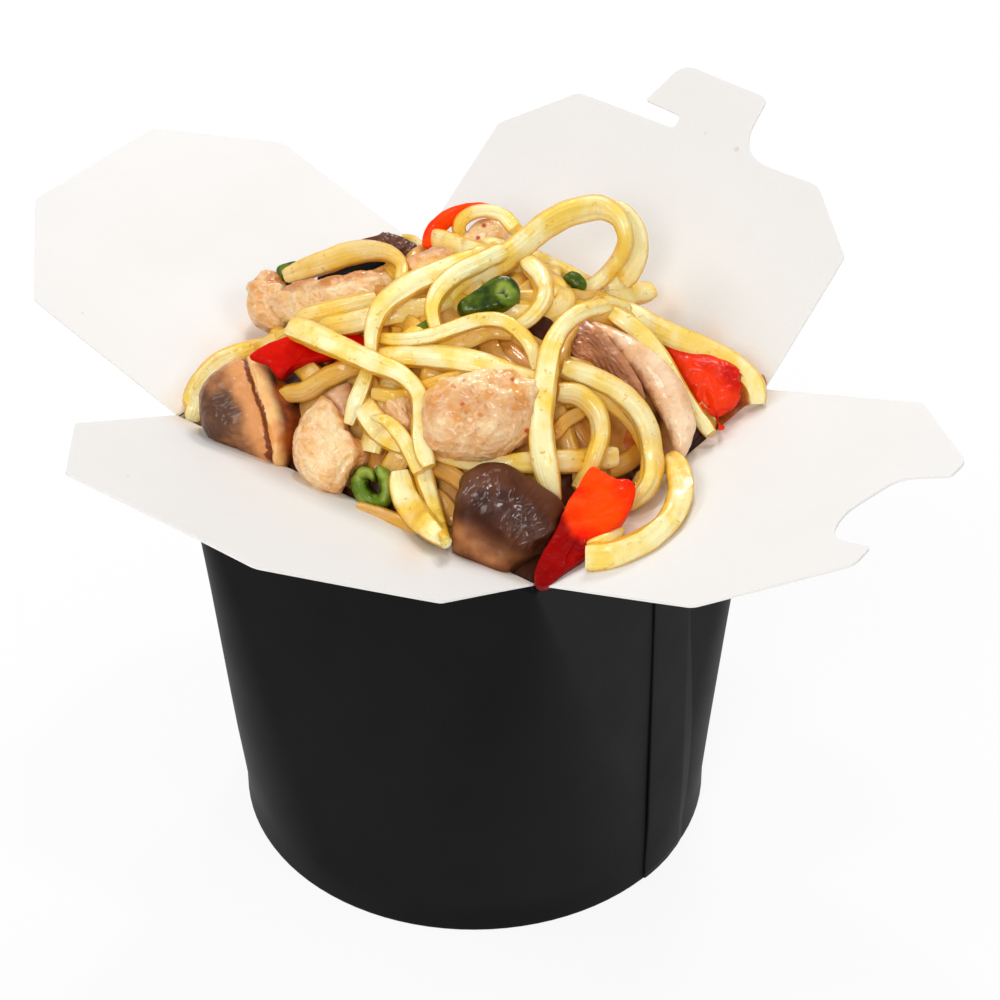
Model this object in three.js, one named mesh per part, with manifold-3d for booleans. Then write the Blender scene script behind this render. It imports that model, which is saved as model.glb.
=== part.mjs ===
// A folded board box for noodles, open and heaped full, standing on its round foot.
// Millimetres. The origin is the middle of the foot on the table, +Z is up, +X and +Y run along the mouth's sides.
import * as THREE from 'three'
import { mergeVertices } from 'three/addons/utils/BufferGeometryUtils.js'
import Module from 'manifold-3d'

const wasm = await Module()
wasm.setup()

// Driving dimensions of the box
const board = 0.5
const gap = 0.3
const mouthX = 100
const mouthY = 88
const creaseZ = 110.5
const creaseGap = 0.5
const footRadius = 55.8
const footBand = 7
const hemHeight = 5.7
const baseZ = 6
const cornerArcs = 10
const lapWidth = 12
const lapFootY = -7
const lapMouthY = 0.5
const lapDrop = 4

// Driving dimensions of the heap
const heapRise = 27
const heapEdge = -1
const heapLean = 5
const heapPower = 3
const noodleWide = 4.9
const noodleThick = 4
const noodleSides = 6
const stepLength = 6.5
const fillerStep = 12
const coreDepth = 0.6

const halfX = mouthX / 2
const halfY = mouthY / 2
const radians = THREE.MathUtils.degToRad

const paper = new THREE.MeshStandardMaterial({ color: 0xf4f1ec, roughness: 0.55 })
const black = new THREE.MeshStandardMaterial({ color: 0x262626, roughness: 0.6 })

const root = new THREE.Group()

// Closed mesh -> solid, and solid -> geometry

function solid(geometry) {
  let bare = geometry.clone()
  bare.deleteAttribute('normal')
  bare.deleteAttribute('uv')
  bare = mergeVertices(bare, 1e-4)
  const vertProperties = new Float32Array(bare.attributes.position.array)
  const triVerts = new Uint32Array(bare.index.array)
  return new wasm.Manifold(new wasm.Mesh({ numProp: 3, vertProperties, triVerts }))
}

function geometryOf(body) {
  const mesh = body.getMesh()
  const geometry = new THREE.BufferGeometry()
  geometry.setAttribute('position', new THREE.BufferAttribute(new Float32Array(mesh.vertProperties), 3))
  geometry.setIndex(new THREE.BufferAttribute(new Uint32Array(mesh.triVerts), 1))
  return geometry
}

function largest(body) {
  const pieces = body.decompose()
  pieces.sort((a, b) => b.volume() - a.volume())
  return pieces[0]
}

function add(parent, name, geometry, material) {
  const mesh = new THREE.Mesh(geometry, material)
  mesh.name = name
  parent.add(mesh)
  return mesh
}

// The wall: a round foot that turns into a sharp-cornered rectangle by four flat sides and four corner fans

function fromTriangles(points, triangles) {
  const geometry = new THREE.BufferGeometry()
  const flat = points.flatMap((p) => [p.x, p.y, p.z])
  geometry.setAttribute('position', new THREE.Float32BufferAttribute(flat, 3))
  geometry.setIndex(triangles.flat())
  return geometry
}

function tub(inset, footZ, rims) {
  // rims: the heights of the rectangles above the foot's circles, lowest first
  const radius = footRadius - inset
  const count = 4 * cornerArcs
  const points = []
  for (const z of [footZ, footBand]) {
    for (let i = 0; i < count; i++) {
      const turn = (2 * Math.PI * i) / count
      points.push(new THREE.Vector3(radius * Math.cos(turn), radius * Math.sin(turn), z))
    }
  }
  const corners = points.length
  for (const z of rims) {
    for (const [sx, sy] of [[1, 1], [-1, 1], [-1, -1], [1, -1]]) {
      points.push(new THREE.Vector3(sx * (halfX - inset), sy * (halfY - inset), z))
    }
  }
  const triangles = []
  for (let i = 0; i < count; i++) {
    const next = (i + 1) % count
    triangles.push([i, next, count + i], [next, count + next, count + i])
    triangles.push([count + i, count + next, corners + Math.floor(i / cornerArcs)])
    if (i > 0 && i < count - 1) triangles.push([0, i + 1, i])
  }
  for (let c = 0; c < 4; c++) {
    const after = (c + 1) % 4
    triangles.push([count + ((c + 1) * cornerArcs) % count, corners + after, corners + c])
    for (let low = corners; low < points.length - 4; low += 4) {
      triangles.push([low + c, low + after, low + 4 + c], [low + after, low + 4 + after, low + 4 + c])
    }
  }
  const top = points.length - 4
  triangles.push([top, top + 1, top + 2], [top, top + 2, top + 3])
  return solid(fromTriangles(points, triangles))
}

function block(lower, upper) {
  const points = []
  for (const [x0, x1, y0, y1, z] of [lower, upper]) {
    points.push(new THREE.Vector3(x0, y0, z), new THREE.Vector3(x1, y0, z))
    points.push(new THREE.Vector3(x1, y1, z), new THREE.Vector3(x0, y1, z))
  }
  const triangles = [[0, 2, 1], [0, 3, 2], [4, 5, 6], [4, 6, 7]]
  for (let i = 0; i < 4; i++) {
    const next = (i + 1) % 4
    triangles.push([i, next, 4 + i], [next, 4 + next, 4 + i])
  }
  return solid(fromTriangles(points, triangles))
}

function ring(inner, outer, z0, z1) {
  const profile = [[inner, z0], [outer, z0], [outer, z1], [inner, z1], [inner, z0]]
  const geometry = new THREE.LatheGeometry(profile.map(([r, z]) => new THREE.Vector2(r, z)), 4 * cornerArcs)
  return solid(geometry.rotateX(Math.PI / 2))
}

function lap() {
  // The glued overlap: one board's edge lies on the other, up the middle of the +X side. It stops short of the
  // crease, so that the flap can hang down beside it.
  const low = footBand
  const high = creaseZ - lapDrop
  const out = footRadius - halfX
  const sideX = (z) => footRadius - (out * (z - low)) / (creaseZ - creaseGap - low)
  const points = []
  for (const z of [low, high]) {
    const edge = z === low ? lapFootY : lapMouthY
    for (const [x, y] of [[-board, edge], [board, edge], [board, edge + lapWidth], [-board, edge + lapWidth]]) {
      const bend = z === low ? footRadius - Math.sqrt(footRadius ** 2 - y ** 2) : 0
      points.push(new THREE.Vector3(sideX(z) + x - bend, y, z))
    }
  }
  const triangles = [[0, 2, 1], [0, 3, 2], [4, 5, 6], [4, 6, 7]]
  for (let i = 0; i < 4; i++) {
    const next = (i + 1) % 4
    triangles.push([i, next, 4 + i], [next, 4 + next, 4 + i])
  }
  return solid(fromTriangles(points, triangles))
}

const hemOuter = footRadius - 2 * board - 2 * gap
const wallTop = creaseZ - creaseGap
const inside = tub(board, -board, [wallTop, creaseZ + board])
const wall = tub(0, 0, [wallTop])
  .subtract(inside)
  .add(ring(hemOuter - board, hemOuter, 0, hemHeight))
  .add(ring(hemOuter - board, footRadius - board / 2, 0, board))
  .add(lap().subtract(inside))
add(root, 'wall', geometryOf(wall), black)

function base() {
  // A shallow upturned cup: its skirt is held between the wall and the wall's turned-up hem
  const outer = footRadius - board - gap
  const profile = [[0, baseZ], [outer - board, baseZ], [outer - board, board + gap], [outer, board + gap]]
  profile.push([outer, baseZ + board], [0, baseZ + board])
  const geometry = new THREE.LatheGeometry(profile.map(([r, z]) => new THREE.Vector2(r, z)), 4 * cornerArcs)
  return geometry.rotateX(Math.PI / 2)
}
add(root, 'base', base(), black)

// The four flaps: flat boards, each hinged on a crease of the mouth and standing open at its own angle

function rounded(corners) {
  // An outline through [along, out, radius] corners, each eased by a curve of about that radius
  const shape = new THREE.Shape()
  const at = (i) => corners[(i + corners.length) % corners.length]
  corners.forEach(([x, y, r], i) => {
    const corner = new THREE.Vector2(x, y)
    const before = new THREE.Vector2(...at(i - 1).slice(0, 2)).sub(corner).setLength(r).add(corner)
    const after = new THREE.Vector2(...at(i + 1).slice(0, 2)).sub(corner).setLength(r).add(corner)
    if (i === 0) shape.moveTo(before.x, before.y)
    else shape.lineTo(before.x, before.y)
    if (r > 0) shape.quadraticCurveTo(x, y, after.x, after.y)
  })
  return shape
}

const flapInset = 0.5
const sideReach = 66.4
const frontReach = 64.8
const wide = halfX - flapInset
const deep = halfY - flapInset
const flaps = {
  left: {
    turn: 90, tilt: 18.75, fold: [-halfX, 0],
    outline: [[-deep, creaseGap, 0], [deep, creaseGap, 0], [deep, 44, 1], [20.5, sideReach, 1.5],
      [-20.5, sideReach, 1.5], [-deep, 44, 1]],
  },
  front: {
    turn: 180, tilt: 27, fold: [0, -halfY],
    outline: [[-wide, creaseGap, 0], [wide, creaseGap, 0], [wide, 34.5, 1], [25, frontReach, 1.5],
      [-25, frontReach, 1.5], [-wide, 34.5, 1]],
  },
  back: {
    turn: 0, tilt: 32, fold: [0, halfY],
    outline: [[-wide, creaseGap, 0], [wide, creaseGap, 0], [wide, 36.8, 1], [34.3, 50.9, 2],
      [11.5, 50.9, 10], [11.2, 67.2, 2.5], [-13.6, 68.1, 4], [-17.3, 56, 0.6],
      [-6.6, 55.4, 1.6], [-6.6, 51.7, 1.6], [-34.6, 51.8, 2], [-wide, 37, 1]],
  },
  right: {
    turn: -90, tilt: 18.75, fold: [halfX, 0],
    outline: [[-deep, creaseGap, 0], [deep, creaseGap, 0], [deep, 40.5, 1.5], [22, 65.6, 2],
      [15.3, 65.2, 1], [13.6, 54.2, 5], [3.6, 51.6, 4], [-11.6, 55.6, 4],
      [-14.2, sideReach, 0.8], [-20.5, sideReach, 2.5], [-deep, 42, 1.5]],
  },
}

for (const [side, flap] of Object.entries(flaps)) {
  const fold = new THREE.Group()
  fold.position.set(...flap.fold, creaseZ)
  fold.rotation.z = radians(flap.turn)
  root.add(fold)
  const plate = new THREE.ExtrudeGeometry(rounded(flap.outline), { depth: board, bevelEnabled: false, curveSegments: 4 })
  add(fold, `flap_${side}`, plate, paper).rotation.x = radians(flap.tilt)
}

// Where the food may be: inside the wall up to the creases, and above the open flaps over them

function roomAbove() {
  const high = 50
  const from = (side) => (board + gap) / Math.sin(radians(flaps[side].tilt))
  const low = [-halfX + from('left'), halfX - from('right'), -halfY + from('front'), halfY - from('back'), creaseZ]
  const spread = (side) => high / Math.tan(radians(flaps[side].tilt))
  const top = [low[0] - spread('left'), low[1] + spread('right'), low[2] - spread('front'), low[3] + spread('back')]
  return block(low, [...top, creaseZ + high])
}
const floor = baseZ + board + gap
const filling = tub(board + gap, floor, [wallTop, creaseZ + gap])
const room = filling.add(roomAbove())

// The food is laid out on a drawing grid of 1000 by 1000 squares, column and row from its top left corner, that an
// eye above the front corner looks through. A place is a square of the grid and a lift above the heap's surface.

const eye = new THREE.Vector3(334.5, -433.4, 502.7)
const aim = new THREE.Vector3(-0.5, 10.9, 76.25)
const gridMiddle = 500
const gridReach = 3000
const towardEye = eye.clone().sub(aim).normalize()
const gridRight = new THREE.Vector3(0, 0, 1).cross(towardEye).normalize()
const gridUp = towardEye.clone().cross(gridRight)

function sight(column, row) {
  const ray = towardEye.clone().multiplyScalar(-gridReach)
  ray.addScaledVector(gridRight, column - gridMiddle)
  return ray.addScaledVector(gridUp, gridMiddle - row).normalize()
}

function heapTop(x, y) {
  // Over the mouth a mound, higher at its back left corner; outside the mouth the open flaps
  const past = { left: -halfX - x, right: x - halfX, front: -halfY - y, back: y - halfY }
  const outside = Object.entries(past).filter(([, reach]) => reach > 0)
  if (outside.length) {
    const rise = ([side, reach]) => reach * Math.tan(radians(flaps[side].tilt))
    return creaseZ + board + Math.max(...outside.map(rise))
  }
  const mound = (1 - Math.abs(x / halfX) ** heapPower) * (1 - Math.abs(y / halfY) ** heapPower)
  return creaseZ + heapEdge + (heapLean * (y / halfY - x / halfX)) / 2 + heapRise * mound
}

function atHeight(column, row, height) {
  const ray = sight(column, row)
  return eye.clone().addScaledVector(ray, (creaseZ + height - eye.z) / ray.z)
}

function onHeap(column, row, lift) {
  const above = (height) => {
    const p = atHeight(column, row, height)
    return p.z - heapTop(p.x, p.y) - lift
  }
  let high = 60
  while (above(high - 1) > 0) high -= 1
  let low = high - 1
  for (let i = 0; i < 20; i++) {
    const middle = (high + low) / 2
    if (above(middle) > 0) high = middle
    else low = middle
  }
  return atHeight(column, row, low)
}

// Noodles: each follows its own route; the third number is the lift of its middle above the heap's surface

const lyingNoodles = {
  longPale: [[520, 247, 3], [480, 257, 4], [440, 271, 4.5], [405, 288, 5.5], [381, 308, 6.5], [372, 332, 6],
    [371, 352, 3.5], [367, 374, 1.5], [359, 398, 2.5], [349, 424, 3.5]],
  foldUnder: [[376, 303, 2], [345, 314, 3], [308, 319, 5]],
  foldOver: [[294, 327, 8], [315, 338, 8], [345, 352, 7.5], [372, 364, 7], [400, 374, 6.5], [416, 389, 6],
    [421, 412, 6], [421, 435, 6.5], [424, 452, 7], [429, 466, 7]],
  acrossTop: [[374, 338, 2.5], [402, 341, 4], [432, 338, 5.5], [458, 328, 6.5], [482, 320, 7], [502, 321, 7],
    [520, 329, 7], [532, 346, 5.5], [537, 366, 3.5]],
  acrossMiddle: [[378, 358, 1.5], [410, 357, 2.5], [445, 358, 4], [480, 363, 4], [510, 371, 3], [534, 379, 2]],
  ringOuter: [[503, 252, 6], [480, 262, 6.5], [455, 275, 6], [438, 292, 5], [432, 312, 4], [437, 332, 2]],
  ringRight: [[528, 262, 4], [541, 278, 3], [544, 297, 2], [533, 315, 1.5], [516, 328, 1]],
  downRight: [[603, 306, 7], [582, 312, 8], [564, 326, 8.5], [554, 348, 8.5], [549, 375, 8], [545, 402, 7.5],
    [542, 430, 7], [543, 458, 7], [548, 485, 7], [555, 503, 6]],
  loopInner: [[557, 392, 3], [578, 396, 4], [595, 410, 5], [601, 430, 5.5], [598, 452, 6], [591, 472, 5]],
  loopOuter: [[561, 368, 4], [585, 377, 4.5], [612, 388, 5.5], [636, 404, 6.5], [650, 427, 7], [659, 455, 7],
    [660, 480, 6], [648, 498, 5]],
  loopMiddle: [[580, 389, 1], [605, 405, 2.5], [627, 423, 3.5], [642, 448, 4], [650, 472, 3], [644, 490, 2]],
  besidePepper: [[612, 315, 2], [636, 332, 3], [655, 350, 4], [672, 378, 4], [690, 406, 3.5], [711, 432, 2.5]],
  shortEnd: [[434, 455, 1], [460, 464, 1], [490, 469, 1], [518, 466, 1.5], [548, 463, 2], [575, 462, 2],
    [600, 458, 2], [616, 457, 2]],
  frontWide: [[404, 466, 4], [404, 488, 4.5], [416, 510, 4.5], [432, 528, 4.5], [445, 541, 4]],
  frontThin: [[421, 456, 3.5], [424, 478, 4], [430, 502, 4.5], [438, 524, 5], [446, 538, 5]],
  curl: [[374, 418, 5], [388, 421, 5.5], [402, 435, 6], [413, 453, 5.5], [418, 470, 5]],
  broad: [[361, 394, 1], [372, 416, 2], [388, 436, 2.5], [408, 450, 2]],
  behindChicken: [[412, 394, 2], [432, 384, 3], [458, 377, 3], [484, 373, 2]],
}

// The third number of these is the height above the creases: they stand clear of the heap or lie over a flap
const standingNoodles = {
  highLoop: [[449, 312, 24], [452, 296, 26.5], [470, 280, 28], [495, 266, 29.5], [520, 248, 31.5], [545, 227, 34],
    [575, 212, 36], [604, 210, 36], [621, 221, 34.5], [626, 239, 31], [619, 258, 26], [607, 274, 21.5],
    [590, 288, 18], [566, 297, 17]],
  loopPartner: [[612, 205, 31], [630, 214, 30], [640, 232, 27.5], [639, 252, 23.5], [631, 270, 19],
    [615, 285, 15.5], [592, 296, 15]],
  shortBlob: [[651, 292, 11], [630, 295, 13], [606, 301, 15]],
  topLeft: [[286, 272, 14.5], [305, 265, 16], [328, 257, 18], [352, 254, 20], [377, 253, 22.5], [393, 259, 25.5],
    [401, 270, 28], [398, 283, 29]],
  alongBack: [[606, 305, 20], [632, 313, 17.5], [660, 328, 15], [690, 341, 12.5], [716, 351, 10], [738, 367, 8],
    [751, 387, 5.5], [757, 400, 2.5]],
  leftRim: [[191, 418, -1], [192, 402, 2], [199, 384, 5], [214, 365, 7.5], [236, 353, 9.5], [260, 346, 10.5],
    [284, 337, 12]],
  topPeak: [[436, 252, 23], [441, 239, 24], [456, 236, 25.5], [474, 244, 28], [494, 254, 29]],
  topArch: [[458, 240, 22], [459, 223, 25.5], [470, 213, 28], [486, 211, 29.5], [502, 219, 30], [514, 232, 29]],
  overFlap: [[659, 466, 4], [672, 467, 5.5], [680, 484, 6], [678, 507, 7.2], [667, 528, 7.6], [648, 543, 7.6],
    [622, 553, 7], [600, 560, 6], [588, 565, 5.5]],
}

const section = new THREE.Shape()
for (let i = 0; i < noodleSides; i++) {
  const turn = (2 * Math.PI * i) / noodleSides
  const corner = [(noodleThick / 2) * Math.cos(turn), (noodleWide / 2) * Math.sin(turn)]
  if (i === 0) section.moveTo(...corner)
  else section.lineTo(...corner)
}

function noodle(points, step = stepLength) {
  const extrudePath = new THREE.CatmullRomCurve3(points, false, 'centripetal')
  const steps = Math.max(3, Math.round(extrudePath.getLength() / step))
  return solid(new THREE.ExtrudeGeometry(section, { steps, extrudePath, bevelEnabled: false }))
}

// Where no route is drawn, noodles wander over the heap at random, seeded, so that it is covered all round

let seed = 11
function random() {
  seed = (seed * 16807) % 2147483647
  return seed / 2147483647
}

function wandering(x, y, heading, turning, lift) {
  const points = []
  for (let i = 0; i < 8; i++) {
    if (Math.abs(x) > halfX - 5 || Math.abs(y) > halfY - 5) break
    points.push(new THREE.Vector3(x, y, heapTop(x, y) + lift))
    heading += turning * (0.6 + 0.8 * random())
    x += 7 * Math.cos(heading)
    y += 7 * Math.sin(heading)
  }
  return points
}

const fillers = []
const fillerCount = 9
for (let i = 0; i < fillerCount; i++) {
  // Spread along the two far sides, which no drawn noodle reaches
  const along = (i + 0.5) / fillerCount
  const inset = i % 2 ? 8 : 14
  const x = along < 0.5 ? -halfX + inset : -halfX + 10 + (along - 0.5) * 2 * (mouthX - 40)
  const y = along < 0.5 ? -halfY + 20 + along * 2 * (mouthY - 30) : halfY - inset
  const heading = along < 0.5 ? Math.PI / 2 - 0.5 * random() : -0.4 * random()
  const points = wandering(x, y, heading, (random() - 0.5) * 0.5, 1 + 2 * random())
  if (points.length > 2) fillers.push(noodle(points, fillerStep))
}

const strands = [
  ...Object.values(lyingNoodles).map((route) => noodle(route.map((p) => onHeap(...p)))),
  ...Object.values(standingNoodles).map((route) => noodle(route.map((p) => atHeight(...p)))),
  ...fillers,
]

// The core: everything under the heap's surface, down to the base

function core() {
  const cells = 12
  const below = creaseZ - 20
  const sheet = new THREE.BoxGeometry(mouthX, mouthY, 1, cells, cells, 1)
  const place = sheet.attributes.position
  for (let i = 0; i < place.count; i++) {
    const top = heapTop(place.getX(i), place.getY(i)) - coreDepth
    place.setZ(i, place.getZ(i) > 0 ? top : below)
  }
  const crown = solid(sheet)
  return crown.intersect(room).add(tub(board + gap, floor, [wallTop]).intersect(block(
    [-footRadius, footRadius, -footRadius, footRadius, 0], [-footRadius, footRadius, -footRadius, footRadius, below + 1])))
}

// Toppings. A chunk swells to both sides of a closed outline that stands on the drawing grid; its `lift` is its
// middle's above the heap's surface, or `height` the same above the creases. A rope runs along a line of places.

const chunkSides = 12
const smallSides = 8
const ropeSides = 8
const ropeLayers = 8
const toppingGap = 0.4

function shaped(sides, layers, placeOf) {
  // A sphere's vertices moved: placeOf gets the turn round the poles as a count of sides, and the angle from the pole
  const ball = new THREE.SphereGeometry(1, sides, layers)
  const place = ball.attributes.position
  for (let layer = 0; layer <= layers; layer++) {
    for (let side = 0; side <= sides; side++) {
      const p = placeOf((sides - side) % sides, (Math.PI * layer) / layers)
      place.setXYZ(layer * (sides + 1) + side, p.x, p.y, p.z)
    }
  }
  return solid(ball)
}

function chunk({ outline, lift, height, front, back, sides = chunkSides }, grow) {
  const middle = outline.reduce(([c, r], p) => [c + p[0] / outline.length, r + p[1] / outline.length], [0, 0])
  const heart = height === undefined ? onHeap(...middle, lift) : atHeight(...middle, height)
  const normal = towardEye.clone().multiplyScalar(0.6).add(new THREE.Vector3(0, 0, 0.4)).normalize()
  const reach = heart.clone().sub(eye).dot(normal)
  const rim = outline.map(([column, row]) => {
    const ray = sight(column, row)
    return eye.clone().addScaledVector(ray, reach / ray.dot(normal))
  })
  const ringOf = new THREE.CatmullRomCurve3(rim, true, 'centripetal').getSpacedPoints(sides)
  return shaped(sides, sides / 2, (side, angle) => {
    const out = ringOf[side].clone().sub(heart)
    out.multiplyScalar((1 + grow / out.length()) * Math.sin(angle) ** 0.8)
    const depth = Math.cos(angle) > 0 ? front : back
    return heart.clone().add(out).addScaledVector(normal, (depth + grow) * Math.cos(angle))
  })
}

function rope({ line, width, thick }, grow) {
  const curve = new THREE.CatmullRomCurve3(line.map((p) => atHeight(...p)), false, 'centripetal')
  return shaped(ropeSides, ropeLayers, (side, angle) => {
    const along = (1 - Math.cos(angle)) / 2
    const middle = curve.getPointAt(along)
    const forward = curve.getTangentAt(along)
    const across = forward.clone().cross(towardEye).normalize()
    const over = across.clone().cross(forward)
    const at = along * (width.length - 1)
    const before = Math.min(Math.floor(at), width.length - 2)
    const broad = width[before] + (at - before) * (width[before + 1] - width[before])
    const fade = Math.sin(angle) ** 0.5
    const turn = (2 * Math.PI * side) / ropeSides
    middle.addScaledVector(forward, -grow * Math.cos(angle))
    middle.addScaledVector(across, (broad / 2 + grow) * fade * Math.cos(turn))
    return middle.addScaledVector(over, -(thick / 2 + grow) * fade * Math.sin(turn))
  })
}

const chicken = 0xd9a77b
const mushroom = 0x6d5443
const pepper = 0xc8200f
const bean = 0x3f6f24
const onion = 0xc9a07a

// Name, colour and parts, the topmost ones first: the later ones give way to them
const toppings = [
  ['pepper_front', pepper, [{
    outline: [[592, 468], [618, 478], [633, 487], [632, 505], [615, 524], [600, 533], [585, 541], [583, 556],
      [565, 572], [546, 587], [535, 583], [535, 562], [548, 535], [558, 510], [572, 488]],
    lift: 3, front: 3, back: 4,
  }]],
  ['mushroom_front', mushroom, [{
    outline: [[455, 500], [462, 480], [480, 468], [500, 465], [525, 475], [548, 487], [563, 505], [560, 525],
      [545, 552], [522, 568], [503, 580], [478, 570], [453, 553], [454, 525]],
    lift: 3, front: 6, back: 7,
  }]],
  ['bean_front', bean, [{
    outline: [[353, 480], [355, 470], [365, 465], [374, 470], [379, 461], [391, 469], [395, 485], [392, 500],
      [383, 508], [368, 505], [357, 495]],
    hole: [[369, 483], [374, 478], [382, 480], [383, 490], [380, 497], [373, 490]],
    lift: 2, front: 2.5, back: 3,
  }]],
  ['chicken_front', chicken, [{
    outline: [[320, 404], [333, 408], [343, 420], [350, 435], [366, 450], [367, 460], [352, 475], [340, 487],
      [328, 492], [310, 482], [297, 462], [299, 445], [303, 425]],
    lift: 2, front: 5, back: 6,
  }]],
  ['mushroom_left', mushroom, [{
    outline: [[190, 408], [199, 384], [220, 362], [248, 353], [270, 366], [286, 382], [300, 400], [303, 425],
      [300, 450], [290, 470], [265, 465], [235, 450], [210, 437], [195, 424]],
    lift: 1.5, front: 6, back: 7,
  }]],
  ['chicken_middle', chicken, [{
    outline: [[427, 400], [445, 388], [475, 380], [510, 376], [535, 385], [544, 392], [538, 415], [526, 435],
      [510, 450], [485, 459], [455, 455], [432, 442], [427, 420]],
    lift: 2.5, front: 4.5, back: 6,
  }]],
  ['chicken_left', chicken, [{
    outline: [[268, 275], [279, 287], [290, 300], [292, 320], [284, 333], [262, 327], [250, 313], [252, 297],
      [258, 283]],
    height: 9.5, front: 4, back: 5,
  }, {
    line: [[258, 316, 8], [290, 302, 13.5], [320, 294, 17.5], [350, 286, 21], [396, 273, 24]],
    width: [13, 12, 10.5, 9, 6], thick: 8,
  }]],
  ['mushroom_right', mushroom, [{
    outline: [[562, 355], [567, 335], [582, 321], [605, 335], [625, 358], [638, 380], [645, 400], [620, 388],
      [590, 368]],
    height: 17.5, front: 3, back: 5,
  }, {
    line: [[583, 324, 21], [606, 340, 19.5], [630, 358, 18], [652, 380, 15], [670, 406, 11], [680, 430, 7],
      [680, 456, 2.5]],
    width: [4.5, 6, 7.5, 9, 9.5, 8, 6], thick: 8,
  }]],
  ['pepper_right', pepper, [{
    outline: [[660, 343], [680, 349], [705, 357], [725, 366], [738, 385], [736, 402], [728, 414], [722, 428],
      [714, 420], [708, 408], [695, 400], [682, 385], [668, 362]],
    lift: 2, front: 3, back: 3,
  }]],
  ['pepper_left', pepper, [{
    outline: [[250, 358], [275, 342], [300, 334], [335, 331], [360, 336], [369, 348], [350, 358], [320, 364],
      [298, 372], [284, 384], [266, 368]],
    lift: 2, front: 2, back: 2.5,
  }]],
  ['bean_middle', bean, [{
    outline: [[455, 302], [470, 293], [497, 280], [512, 285], [520, 295], [516, 306], [503, 316], [480, 314],
      [464, 316]],
    lift: 2, front: 3.5, back: 4,
  }]],
  ['chicken_back', chicken, [{
    outline: [[466, 236], [480, 223], [492, 222], [502, 233], [498, 243], [488, 250], [474, 248]],
    height: 24, front: 3, back: 4, sides: smallSides,
  }]],
  ['pepper_back', pepper, [{
    line: [[426, 248, 24], [432, 236, 25], [444, 224, 26], [460, 214, 27], [478, 208, 28], [497, 208, 28.5]],
    width: [3.6, 3.6, 3.6, 3.6, 3.6, 3.6], thick: 4,
  }]],
  ['mushroom_back', mushroom, [{
    outline: [[362, 243], [380, 236], [400, 237], [417, 246], [420, 258], [405, 268], [380, 262], [365, 254]],
    lift: 1.5, front: 3, back: 5,
  }]],
  ['chicken_rear', chicken, [{
    outline: [[408, 262], [425, 255], [443, 252], [450, 262], [435, 272], [415, 277], [406, 272]],
    lift: 2.5, front: 2.5, back: 4, sides: smallSides,
  }]],
  ['chicken_small', chicken, [{
    outline: [[385, 402], [400, 399], [412, 400], [414, 418], [411, 432], [400, 424], [388, 412]],
    lift: 1.5, front: 2.5, back: 3, sides: smallSides,
  }]],
  ['onion_right', onion, [{
    outline: [[607, 425], [622, 424], [640, 440], [645, 460], [640, 478], [620, 480], [612, 465], [608, 445]],
    lift: -1.5, front: 2.5, back: 3,
  }]],
  ['onion_edge', onion, [{
    outline: [[704, 404], [724, 398], [748, 388], [770, 386], [758, 404], [740, 422], [722, 438], [710, 424]],
    lift: 0, front: 2, back: 3, sides: smallSides,
  }]],
  ['onion_left', onion, [{
    outline: [[327, 395], [340, 385], [351, 383], [352, 400], [345, 418], [335, 410]],
    lift: 1, front: 2, back: 3, sides: smallSides,
  }]],
  ['bean_back', bean, [{
    outline: [[562, 279], [570, 273], [580, 275], [588, 285], [582, 292], [572, 289]],
    lift: 2, front: 2, back: 3, sides: smallSides,
  }]],
  ['bean_left', bean, [{
    outline: [[277, 268], [288, 263], [298, 262], [300, 275], [292, 284], [279, 283]],
    height: 13, front: 2, back: 3, sides: smallSides,
  }]],
  ['bean_under', bean, [{
    outline: [[412, 330], [424, 322], [433, 320], [434, 332], [425, 337], [414, 336]],
    lift: 1, front: 2, back: 3, sides: smallSides,
  }]],
]

function topping(parts, grow) {
  return parts.map((part) => {
    if (part.line) return rope(part, grow)
    const whole = chunk(part, grow)
    if (!part.hole || grow) return whole
    return whole.subtract(chunk({ ...part, outline: part.hole, front: 9, back: 9, sides: smallSides }, 0))
  }).reduce((sum, part) => sum.add(part))
}

let taken = null
for (const [name, color, parts] of toppings) {
  let body = topping(parts, 0).intersect(room)
  if (taken) body = body.subtract(taken)
  add(root, name, geometryOf(largest(body)), new THREE.MeshStandardMaterial({ color, roughness: 0.45 }))
  const grown = topping(parts, toppingGap)
  taken = taken ? taken.add(grown) : grown
}

const heap = strands.reduce((sum, strand) => sum.add(strand), core()).intersect(room).subtract(taken)
add(root, 'noodles', geometryOf(largest(heap)), new THREE.MeshStandardMaterial({ color: 0xecd27c, roughness: 0.4 }))
export default root
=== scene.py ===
import math

import bmesh
import bpy
import numpy as np
from mathutils import Matrix, Vector, noise
from mathutils.bvhtree import BVHTree
from mathutils.geometry import delaunay_2d_cdt
from mathutils.kdtree import KDTree


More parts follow.
